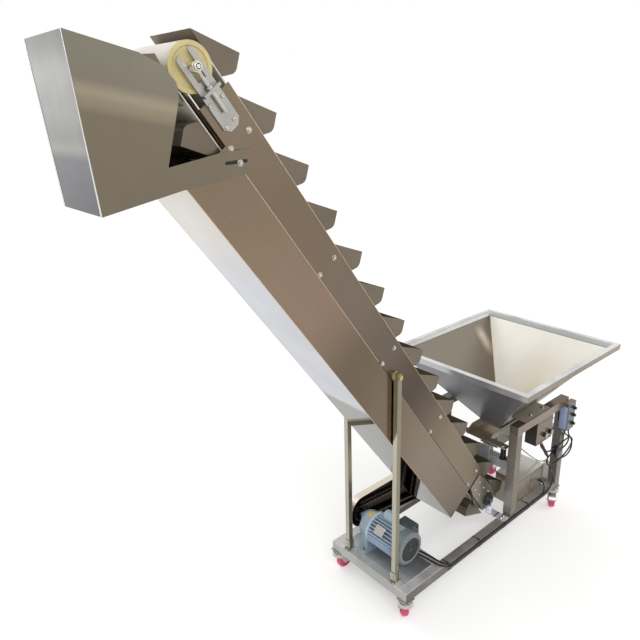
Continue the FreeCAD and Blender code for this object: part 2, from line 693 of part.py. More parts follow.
hop_out = funnel(0.0)
hop_in = funnel(HOP_T)
hop_in = fuse([hop_in,
               box(HX - HOP_L / 2 + RIM + HOP_T, HX + HOP_L / 2 - RIM - HOP_T, -HOP_W / 2 + RIM + HOP_T, HOP_W / 2 - RIM - HOP_T, RZ - 4, RZ + 1),
               box(HX - OUT_L / 2 + HOP_T, HX + OUT_L / 2 - HOP_T, -OUT_W / 2 + HOP_T, OUT_W / 2 - HOP_T, DECK + OUT_Z - 14, DECK + OUT_Z)])
ear = box(HX - 75, HX + 125, 120, HALF - 3, BEAM_Z, BEAM_Z + 4)
ears = [ear, mirror_y(ear)]
hopper = fuse([hop_out] + ears).cut(hop_in)
save("hopper_shell", hopper)

# Feeder
TX1 = FRONT - TRAY_FRONT
TX0 = TX1 - TRAY_L
TZ = DECK + TRAY_FLOOR
WZ = DECK + WING_UP
tw = TRAY_W / 2
floor = box(TX0, TX1, -tw, tw, TZ, TZ + 2)
wall = box(TX0, TX1 - 45, tw - 2, tw, TZ, TZ + TRAY_WALL)
lowwall = prism([(TX1 - 45, TZ), (TX1, TZ), (TX1, TZ + 8), (TX1 - 45, TZ + TRAY_WALL)], tw - 2, tw)
end = box(TX0, TX0 + 2, -tw, tw, TZ, TZ + TRAY_WALL)


def wing(x):
    """Lug from the tray's wall out over a mount, its end corners rounded."""
    plate = box(x - 20, x + 20, tw - 1, WING_OUT, WZ, WZ + WING_T)
    return plate.makeFillet(8, [e for e in plate.Edges if e.BoundBox.ZLength > WING_T - 1 and e.BoundBox.YMin > tw])


MOUNT_X = [FRONT - FRONT_LEG_X - 20, FRONT - REAR_LEG_X + 20]
lugs = [wing(MOUNT_X[0]), wing(MOUNT_X[1] + 8)]
half_tray = [wall, lowwall] + lugs
save("feeder_tray", fuse([floor, end] + half_tray + [mirror_y(s) for s in half_tray]))
mounts = []
for x, z in zip(MOUNT_X, (FRONT_CROSS_TOP, BACK_CROSS_TOP)):
    for y in (-MOUNT_Y, MOUNT_Y):
        pad = cyl(MOUNT_R + 4, PAD_T, V(x, y, z))
        mounts.append(fuse([pad, cyl(MOUNT_R, WZ - z - PAD_T, V(x, y, z + PAD_T))]))
save("feeder_mounts", group(mounts))
drive = fuse([box(HX - 75, HX + 75, -45, 45, TZ - 78, TZ - 6), box(HX - 30, HX + 30, -30, 30, TZ - 10, TZ)])
save("feeder_drive", drive)

# Boxes
cab_x1 = FRONT - CABINET_FRONT
cab = box(cab_x1 - CABINET_L, cab_x1, HALF - TUBE - CABINET_W, HALF - TUBE, FZ, DECK + CABINET_UP)
save("base_cabinet", cab)
ctl_x1 = FRONT - CONTROLLER_FRONT
save("controller_box", box(ctl_x1 - CONTROLLER_L, ctl_x1, HALF - CONTROLLER_D, HALF, DECK + CONTROLLER_UP, BEAM_LOW))
px1 = FRONT - PANEL_FRONT
leg_x1 = FRONT - REAR_LEG_X + TUBE
pz0 = DECK + PANEL_UP
panel = box(px1 - PANEL_L, px1, HALF, HALF + PANEL_D, pz0, pz0 + PANEL_H)
panel = panel.makeFillet(5, [e for e in panel.Edges if e.BoundBox.ZLength > 10 and e.BoundBox.YMin > HALF])
lap = box(leg_x1, px1, HALF - PANEL_LAP, HALF + 1, pz0, BEAM_LOW)
save("control_box", fuse([panel, lap]))


def turned(section, x, y, z):
    """Part turned on an axis along Y from (radius, distance) points; stands on y."""
    pts = [V(r, 0, h) for r, h in section]
    s = Part.Face(Part.makePolygon(pts + [pts[0]])).revolve(V(0, 0, 0), V(0, 0, 1), 360)
    s.rotate(V(0, 0, 0), V(1, 0, 0), -90)
    s.translate(V(x, y, z))
    return s


KNOB = [(0, 0), (KNOB_R + 3, 0), (KNOB_R + 3, 2), (KNOB_R, 2), (KNOB_R - 1, KNOB_L), (0, KNOB_L)]
SOCKET = [(0, 0), (SOCKET_R + 2, 0), (SOCKET_R + 2, 3), (SOCKET_R, 3), (SOCKET_R, 15), (0, 15)]
knobs = [turned(KNOB, FRONT - KNOB_X, HALF + PANEL_D, DECK + up) for up in KNOB_UP]
sockets = [turned(SOCKET, FRONT - x, HALF, DECK + SOCKET_UP) for x in SOCKET_X]
save("control_knobs", group(knobs + sockets))

# Leads, tied in place
# each runs from housing to housing: (back from the platform front, out from the rails, above the deck)
JUNCTION = (-1118.0, -1086.0, -74.0, -TUBE, 8.0, 72.0)
jb = box(FRONT + JUNCTION[0], FRONT + JUNCTION[1], HALF + JUNCTION[2], HALF + JUNCTION[3], DECK + JUNCTION[4], DECK + JUNCTION[5])
jb = jb.makeFillet(3, [e for e in jb.Edges if e.BoundBox.ZLength > 10 and e.BoundBox.YMax < HALF - TUBE - 1])
drive_lead = lead([(-900, -165, 255), (-900, -147, 255), (-928, -124, 210), (-975, -98, 158), (-1018, -76, 116),
                   (-1054, -62, 96), (-1086, -56, 98), (-1102, -57, 92), (-1102, -57, 72)], 5.0)
save("junction_box", jb)

control_lead = lead([(-1095, 12, 293), (-1095, 12, 268), (-1124, 12, 250), (-1148, 12, 226), (-1138, 12, 199), (-1098, 12, 189),
                     (-1045, 12, 195), (-993, 12, 203), (-958, 13, 198), (-944, 16, 178), (-957, 21, 158), (-997, 26, 151),
                     (-1045, 28, 157), (-1098, 28, 170), (-1140, 28, 192), (-1152, 28, 222), (-1130, 27, 245), (-1092, 25, 246),
                     (-1045, 22, 236), (-1000, 17, 226), (-962, 10, 224), (-936, 2, 240), (-917, -8, 266), (-917, -8, 290)], LEAD_D)
save("stand_leads", group([control_lead, drive_lead]))

motor_lead = lead([(-1115, 19.7, 293), (-1115, 19.7, 264), (-1146, 19.7, 232), (-1168, 19.7, 196), (-1166, 19.7, 160),
                   (-1138, 19.7, 140), (-1095, 19.7, 142), (-1050, 19.7, 152), (-1010, 17.5, 150), (-988, 14, 134),
                   (-1000, 11, 108), (-1028, 9, 84), (-1045, 8, 56), (-1046, 6, 26), (-1036, 4.2, -2), (-1008, 3.9, -20),
                   (-970, 3.9, -24), (-300, 3.9, -24.1), (-252, 4.1, -16), (-228, 5.5, 5), (-214, -12, 6), (-211, -60, 3.9),
                   (-206, -104, 3.9), (-196, -128, 6), (-183, -138, 32), (-179, -140, 76), (-179, -140, 118)], LEAD_D)
cabinet_lead = lead([(-1000, -40, 30), (-1000, -26, 30), (-992, -6, 20), (-978, 4.2, 4), (-955, 3.9, -14), (-920, 3.9, -16),
                     (-310, 3.9, -15.9), (-270, 3.9, -9), (-246, 4.2, 5), (-234, -12, 5), (-230, -60, 3.9), (-226, -118, 3.9),
                     (-206, -145, 6), (-184, -155, 30), (-179, -157, 75), (-179, -157, 118)], LEAD_D)
save("rail_cables", group([motor_lead, cabinet_lead]))

# Casters
def caster_plate(x, y):
    plate = box(x - 26, x + 26, y - 26, y + 26, FZ - PLATE_T, FZ)
    race = cyl(SWIVEL_R, 7, V(x, y, FZ - PLATE_T - 7))
    pin = cyl(STEM_R, 14, V(x, y, FZ - PLATE_T - 14))
    head = cyl(10, 3, V(x, y, FZ - PLATE_T - 7 - 6.3 - 3))
    return fuse([plate, race, pin.fuse(head)])


def caster_fork(x, y, turn):
    """Swivel fork: top disc round the pin, two cheeks and the axle."""
    top = FZ - PLATE_T - 7 - 0.4
    crown = Part.makeCone(CROWN_R, CROWN_R - 2, top - CROWN_LOW, V(0, 0, top), V(0, 0, -1))
    inside = Part.makeCone(CROWN_R - FORK_T, CROWN_R - FORK_T - 2, top, V(0, 0, top - 5.5), V(0, 0, -1))
    cheeks = []
    for s in (-1, 1):
        y0 = s * (FORK_GAP / 2)
        y1 = s * (FORK_GAP / 2 + FORK_T)
        pts = [(-20, top - 5.5), (-20, top), (20, top), (20, top - 5.5), (CASTER_TRAIL + 13, WHEEL_R + 6), (CASTER_TRAIL + 11, WHEEL_R - 8), (CASTER_TRAIL - 11, WHEEL_R - 8)]
        pts = [(-p[0], p[1]) for p in pts]
        cheeks.append(rounded(pts, [0, 0, 0, 0, 8, 8, 8], min(y0, y1), max(y0, y1)))
    axle = ycyl(AXLE_R, -FORK_GAP / 2 - FORK_T - 3, FORK_GAP / 2 + FORK_T + 3, -CASTER_TRAIL, WHEEL_R)
    f = fuse([crown.cut(inside)] + cheeks + [axle])
    f = f.cut(cyl(STEM_R + FIT, 10, V(0, 0, top - 8)))
    f.rotate(V(0, 0, 0), V(0, 0, 1), turn)
    f.translate(V(x, y, 0))
    return f


def caster_wheel(x, y, turn):
    """Wheel turned from one section: hub, web, rim and a tread with bevelled edges."""
    half = WHEEL_W / 2
    hub = FORK_GAP / 2 - 0.6
    bore = AXLE_R + FIT
    side = [(bore, hub), (HUB_R, hub), (HUB_R + 1, half - WEB_IN), (RIM_R - 1, half - WEB_IN), (RIM_R, half),
            (WHEEL_R - TREAD_BEVEL, half), (WHEEL_R, half - TREAD_BEVEL)]
    pts = [V(r, 0, h) for r, h in side] + [V(r, 0, -h) for r, h in reversed(side)]
    w = Part.Face(Part.makePolygon(pts + [pts[0]])).revolve(V(0, 0, 0), V(0, 0, 1), 360)
    w.rotate(V(0, 0, 0), V(1, 0, 0), 90)
    w.translate(V(-CASTER_TRAIL, 0, WHEEL_R))
    w.rotate(V(0, 0, 0), V(0, 0, 1), turn)
    w.translate(V(x, y, 0))
    return w


CX_F = FRONT - TUBE / 2
CX_R = FRONT - REAR_LEG_X + TUBE / 2
CY = HALF - TUBE / 2
CASTERS = {
    "near_front": (CX_F, CY, 55.0),
    "far_front": (CX_F, -CY, 0.0),
    "near_rear": (CX_R, CY, 212.0),
    "far_rear": (CX_R, -CY, 259.0),
}
save("caster_plates", group([caster_plate(x, y) for x, y, t in CASTERS.values()]))
for name, (x, y, turn) in CASTERS.items():
    save("caster_fork_" + name, caster_fork(x, y, turn))
    save("caster_wheel_" + name, caster_wheel(x, y, turn))
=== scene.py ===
"""Looks of the mobile inclined bucket elevator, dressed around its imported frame.

Metres, +Z up, +X towards the discharge head, +Y the side with the hopper controls.
Places given to mm, deck, rail and belt are millimetres, and so are the sizes of forms.
"""
import bpy
import bmesh
import json
import math
import random
from mathutils import Matrix, Vector


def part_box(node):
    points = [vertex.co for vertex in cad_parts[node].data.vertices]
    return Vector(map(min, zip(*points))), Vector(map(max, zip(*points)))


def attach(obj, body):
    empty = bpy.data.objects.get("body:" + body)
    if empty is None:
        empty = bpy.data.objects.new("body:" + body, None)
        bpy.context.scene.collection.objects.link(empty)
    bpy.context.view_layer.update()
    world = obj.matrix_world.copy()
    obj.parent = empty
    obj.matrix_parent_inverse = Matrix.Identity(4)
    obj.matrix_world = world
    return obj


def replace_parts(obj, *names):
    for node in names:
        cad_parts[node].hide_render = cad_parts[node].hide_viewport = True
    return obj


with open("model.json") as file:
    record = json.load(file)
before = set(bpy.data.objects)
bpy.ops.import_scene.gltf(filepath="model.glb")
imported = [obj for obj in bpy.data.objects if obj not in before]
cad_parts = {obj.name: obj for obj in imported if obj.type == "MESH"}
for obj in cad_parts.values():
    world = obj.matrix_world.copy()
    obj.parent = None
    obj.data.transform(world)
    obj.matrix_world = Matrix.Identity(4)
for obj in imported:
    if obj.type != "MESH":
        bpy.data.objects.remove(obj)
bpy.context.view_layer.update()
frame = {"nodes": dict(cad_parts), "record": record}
NODES = frame["nodes"]
RNG = random.Random(7)


# places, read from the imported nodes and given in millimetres
def corners(node):
    low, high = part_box(node)
    return low * 1000.0, high * 1000.0


def middle(node):
    low, high = corners(node)
    return (low + high) / 2


FRONT, HALF, DECK = corners("platform_frame")[1]
TAIL, HEAD = middle("tail_roller"), middle("head_roller")
TAIL_X, TAIL_Z = TAIL.x, TAIL.z
INCLINE = math.atan2(HEAD.z - TAIL.z, HEAD.x - TAIL.x)
COS, SIN = math.cos(INCLINE), math.sin(INCLINE)
SIDE_OUT = corners("side_plate_near")[1].y
MOTOR = middle("fan_cover")
OUTPUT = middle("drive_sprocket")
X, Y, Z = Vector((1, 0, 0)), Vector((0, 1, 0)), Vector((0, 0, 1))
UP = Vector((-SIN, 0, COS))         # square to the belt, carrying side
NEAR_FAR = (1, -1)                  # signs of Y


def mm(x, y, z):
    """A machine point in millimetres, as metres."""
    return Vector((x, y, z)) / 1000.0


def deck(x, y, z):
    """From the platform's front edge, the centre plane and the deck's top."""
    return mm(FRONT + x, y, DECK + z)


def rail(x, y, z):
    """The same, with y out from the near face of the rails."""
    return deck(x, HALF + y, z)


def belt(a, y, p):
    """A point of the conveyor: a up from the tail shaft, p square to the belt."""
    return mm(TAIL_X + a * COS - p * SIN, y, TAIL_Z + a * SIN + p * COS)


# materials
EDGE = 0.0012                       # radius that edges seem to have, in metres
FACING = (0.55, 0.80)               # how squarely a face looks along a direction


def srgb(r, g, b):
    """A 0-255 colour as the linear one that shaders take."""
    def lin(c):
        c /= 255.0
        return c / 12.92 if c <= 0.04045 else ((c + 0.055) / 1.055) ** 2.4
    return (lin(r), lin(g), lin(b), 1.0)


class Tree:
    """The nodes of a material or a world."""

    def __init__(self, owner):
        owner.use_nodes = True
        self.nodes = owner.node_tree.nodes
        self.links = owner.node_tree.links

    def new(self, kind, **inputs):
        n = self.nodes.new(kind)
        for k, v in inputs.items():
            n.inputs[k.replace("_", " ")].default_value = v
        return n

    def link(self, a, b):
        self.links.new(a, b)

    def feed(self, socket, v):
        """Link a socket to another one, or set its value."""
        if isinstance(v, bpy.types.NodeSocket):
            self.link(v, socket)
        else:
            socket.default_value = v

    def calc(self, operation, *values):
        n = self.nodes.new("ShaderNodeMath")
        n.operation = operation
        for socket, v in zip(n.inputs, values):
            self.feed(socket, v)
        return n.outputs[0]

    def distance(self, place):
        """Length of a vector."""
        n = self.nodes.new("ShaderNodeVectorMath")
        n.operation = "LENGTH"
        self.link(place, n.inputs[0])
        return n.outputs["Value"]

    def remap(self, value, source, target=(0.0, 1.0)):
        """A value stretched from the source range to the target range."""
        n = self.nodes.new("ShaderNodeMapRange")
        for socket, v in zip(("From Min", "From Max", "To Min", "To Max"), (*source, *target)):
            n.inputs[socket].default_value = v
        self.link(value, n.inputs["Value"])
        return n.outputs["Result"]

    def rays(self, *kinds):
        """1 for rays of the given kinds, 0 for all others."""
        path = self.nodes.new("ShaderNodeLightPath")
        out = path.outputs[kinds[0]]
        for kind in kinds[1:]:
            out = self.calc("MAXIMUM", out, path.outputs[kind])
        return out


class Shader(Tree):
    """One material of the machine, built up step by step."""

    def __init__(self, name):
        self.mat = bpy.data.materials.new(name)
        super().__init__(self.mat)
        self.bsdf = self.nodes["Principled BSDF"]
        self.place = self.nodes.new("ShaderNodeTexCoord").outputs["Object"]

    def frame(self, origin=(0, 0, 0), turn=(0, 0, 0), size=(1, 1, 1)):
        """Object coordinates in a turned and stretched frame."""
        n = self.nodes.new("ShaderNodeMapping")
        n.vector_type = "TEXTURE"
        n.inputs["Location"].default_value = origin
        n.inputs["Rotation"].default_value = turn
        n.inputs["Scale"].default_value = size
        self.link(self.place, n.inputs["Vector"])
        return n.outputs["Vector"]

    def noise(self, vector, detail, rough=0.5):
        n = self.new("ShaderNodeTexNoise", Scale=1.0, Detail=detail, Roughness=rough)
        self.link(vector, n.inputs["Vector"])
        return n.outputs["Fac"]

    def ramp(self, fac, stops, smooth=False):
        n = self.nodes.new("ShaderNodeValToRGB")
        r = n.color_ramp
        r.interpolation = "EASE" if smooth else "LINEAR"
        while len(r.elements) < len(stops):
            r.elements.new(0.5)
        for e, (at, col) in zip(r.elements, stops):
            e.position = at
            e.color = col if len(col) == 4 else (*col, 1.0)
        self.link(fac, n.inputs["Fac"])
        return n.outputs["Color"]

    def mix(self, fac, a, b, blend="MIX"):
        n = self.nodes.new("ShaderNodeMix")
        n.data_type = "RGBA"
        n.blend_type = blend
        for socket, v in ((n.inputs[0], fac), (n.inputs[6], a), (n.inputs[7], b)):
            self.feed(socket, v)
        return n.outputs[2]

    def span(self, fac, lo, hi):
        """0..1 stretched to lo..hi."""
        return self.remap(fac, (0.0, 1.0), (lo, hi))

    def side_light_mask(self, direction):
        """0..1 where the surface looks along a direction of the machine, to paint shade and highlight by
        side.
        """
        n = self.nodes.new("ShaderNodeVectorMath")
        n.operation = "DOT_PRODUCT"
        self.link(self.nodes.new("ShaderNodeNewGeometry").outputs["Normal"], n.inputs[0])
        n.inputs[1].default_value = Vector(direction).normalized()
        return self.remap(n.outputs["Value"], FACING)

    def within(self, low, high, soft):
        """0..1 inside a box of machine millimetres with soft sides."""
        split = self.nodes.new("ShaderNodeSeparateXYZ")
        self.link(self.place, split.inputs[0])
        sides = []
        for a, b, along in zip(low, high, split.outputs):
            off = self.calc("ABSOLUTE", self.calc("SUBTRACT", along, (a + b) / 2000.0))
            half, ease = (b - a) / 2000.0, soft / 1000.0
            sides.append(self.remap(off, (half + ease, half - ease)))
        return self.calc("MULTIPLY", self.calc("MULTIPLY", sides[0], sides[1]), sides[2])

    def from_axis(self, centre, low, high):
        """0..1 between two distances (mm) from an axis along Y."""
        n = self.nodes.new("ShaderNodeVectorMath")
        n.operation = "MULTIPLY_ADD"
        self.link(self.place, n.inputs[0])
        n.inputs[1].default_value = (1, 0, 1)
        n.inputs[2].default_value = mm(-centre.x, 0, -centre.z)
        return self.remap(self.distance(n.outputs[0]), (low / 1000.0, high / 1000.0))

    def bump(self, height, strength, distance):
        """Fine relief over edges that look rounded."""
        n = self.new("ShaderNodeBump", Strength=strength, Distance=distance)
        self.link(height, n.inputs["Height"])
        b = self.new("ShaderNodeBevel", Radius=EDGE)
        b.samples = 4
        self.link(b.outputs["Normal"], n.inputs["Normal"])
        self.link(n.outputs["Normal"], self.bsdf.inputs["Normal"])

    def set(self, **inputs):
        for k, v in inputs.items():
            self.feed(self.bsdf.inputs[k.replace("_", " ")], v)


GRAIN = {                     # turn and stretch that lay the brush lines
    "x": ((0, 0, 0), (0.30, 0.0012, 0.0012)),
    "y": ((0, 0, 0), (0.0012, 0.30, 0.0012)),
    "z": ((0, 0, 0), (0.0012, 0.0012, 0.30)),
    "a": ((0, -INCLINE, 0), (0.35, 0.0012, 0.0012)),
}


def steel(name, colour, grain="x", rough=0.30, light_bands=None, smudge=0.16, lines=0.05,
          metal=1.0, tint=None, faces=(), zones=()):
    """Sheet or tube steel: brush lines, cloudy wiping marks and long soft bands of painted reflection and
    shade.

    The bands are (origin mm, turn, length mm, stops): painted reflection and shade colours along the turned X
    axis.
    faces are (direction, colour), painted shade and highlight by the way a face looks, and zones (low mm,
    high mm, softness mm, colour), painted highlight and reflection patches.
    """
    s = Shader(name)
    turn, size = GRAIN[grain]
    base = srgb(*colour)
    # long bands of painted reflection and shade along the turned X axis
    if light_bands:
        origin, tturn, length, stops = light_bands
        n = s.nodes.new("ShaderNodeSeparateXYZ")
        s.link(s.frame(mm(*origin), tturn, (length / 1000.0,) * 3), n.inputs[0])
        base = s.ramp(n.outputs["X"], [(t, srgb(*c)) for t, c in stops], True)
    # painted shade and highlight: each way a face looks gets its own lit or shaded colour
    for direction, col in faces:
        base = s.mix(s.side_light_mask(direction), base, srgb(*col))
    # painted highlight and reflection patches in soft boxes
    for low, high, soft, col in zones:
        base = s.mix(s.within(low, high, soft), base, srgb(*col))
    cloud = s.noise(s.frame(size=(0.22, 0.22, 0.22)), detail=4.0, rough=0.55)
    shade = s.ramp(cloud, [(0.25, (1 - smudge,) * 3), (0.75, (1 + smudge * 0.5,) * 3)])
    col = s.mix(1.0, base, shade, "MULTIPLY")
    brush = s.noise(s.frame(turn=turn, size=size), detail=2.0)
    streak = s.ramp(brush, [(0.3, (1 - lines,) * 3), (0.7, (1 + lines * 0.6,) * 3)])
    col = s.mix(1.0, col, streak, "MULTIPLY")
    if tint:
        patch = s.noise(s.frame(origin=(3.1, 1.7, 0.4), size=(0.12, 0.12, 0.12)), detail=2.0)
        col = s.mix(s.ramp(patch, [(0.5, (0, 0, 0)), (0.75, (0.5, 0.5, 0.5))]), col, srgb(*tint))
    s.set(Base_Color=col, Metallic=metal, Roughness=s.span(cloud, rough * 0.8, rough * 1.2))
    s.bump(brush, 0.035, 0.0003)
    return s.mat


def paint(name, colour, rough=0.45, grime=(0.0, (60, 55, 50)), peel=0.15, scale=0.004, coat=0.0,
          axis_shade=None, zones=()):
    """Paint, plastic or rubber: fine orange peel, faint colour drift and grime.

    The painted shade round an axis along Y is (centre, low mm, high mm, colour): darker nearer the axis, in
    the gaps between fins.
    """
    s = Shader(name)
    cloud = s.noise(s.frame(size=(0.06, 0.06, 0.06)), detail=4.0)
    shade = s.ramp(cloud, [(0.3, (0.90, 0.90, 0.90)), (0.7, (1.05, 1.05, 1.05))])
    base = srgb(*colour)
    # painted shade: darker near the axis, in the gaps between the motor's fins
    if axis_shade:
        base = s.mix(s.from_axis(*axis_shade[:3]), srgb(*axis_shade[3]), base)
    for low, high, soft, zone in zones:
        base = s.mix(s.within(low, high, soft), base, srgb(*zone))
    col = s.mix(1.0, base, shade, "MULTIPLY")
    if grime[0]:
        dirt = s.noise(s.frame(size=(0.03, 0.03, 0.03)), detail=5.0, rough=0.65)
        col = s.mix(s.ramp(dirt, [(0.48, (0, 0, 0)), (0.72, (grime[0],) * 3)]), col, srgb(*grime[1]))
    fine = s.noise(s.frame(size=(scale,) * 3), detail=2.0)
    s.set(Base_Color=col, Metallic=0.0, Coat_Weight=coat,
          Roughness=s.span(fine, rough * 0.85, rough * 1.15))
    s.bump(fine, peel, 0.0004)
    return s.mat


TILT = (0, -INCLINE, 0)
BACK = (0, 0, math.pi)
TAIL_PLACE = (TAIL_X, 0, TAIL_Z)
HOOD_TOP, HOOD_FOOT = (FRONT + 850, 0, DECK + 1900), (FRONT + 914, 0, DECK + 1567)
SHEET_L = 2200                      # length of the painted reflection and shade bands along the conveyor
FRONTWARD, NEARWARD, SKYWARD = (1, 0, 0), (0, 1, 0), (0, 0, 1)
HOPPER_IN, HOPPER_OUT = (0.77, 0, 0.64), (0.77, 0, -0.64)
HOPPER_FAR, HOPPER_NEAR = (0, 0.79, 0.62), (0, 0.79, -0.62)
RIM_LOW, RIM_HIGH = (c + Vector((0, 0, lift)) for c, lift in zip(corners("hopper_rim"), (3, 8)))
# on the hopper's inside: a painted highlight (GLARE), a painted reflection (the cream patch) and a painted
# highlight band at the rim
GLARE = RIM_LOW + Vector((135, 10, -190)), Vector((RIM_LOW.x + 175, -225, RIM_LOW.z - 40))
CREAM_REFLECTION = Vector((RIM_LOW.x, 0, RIM_LOW.z - 420)), Vector((RIM_LOW.x + 330, 130, RIM_LOW.z - 120))
CAPACITOR = (MOTOR.x - 36, -20, MOTOR.z + 67), (MOTOR.x + 14, 50, MOTOR.z + 115)
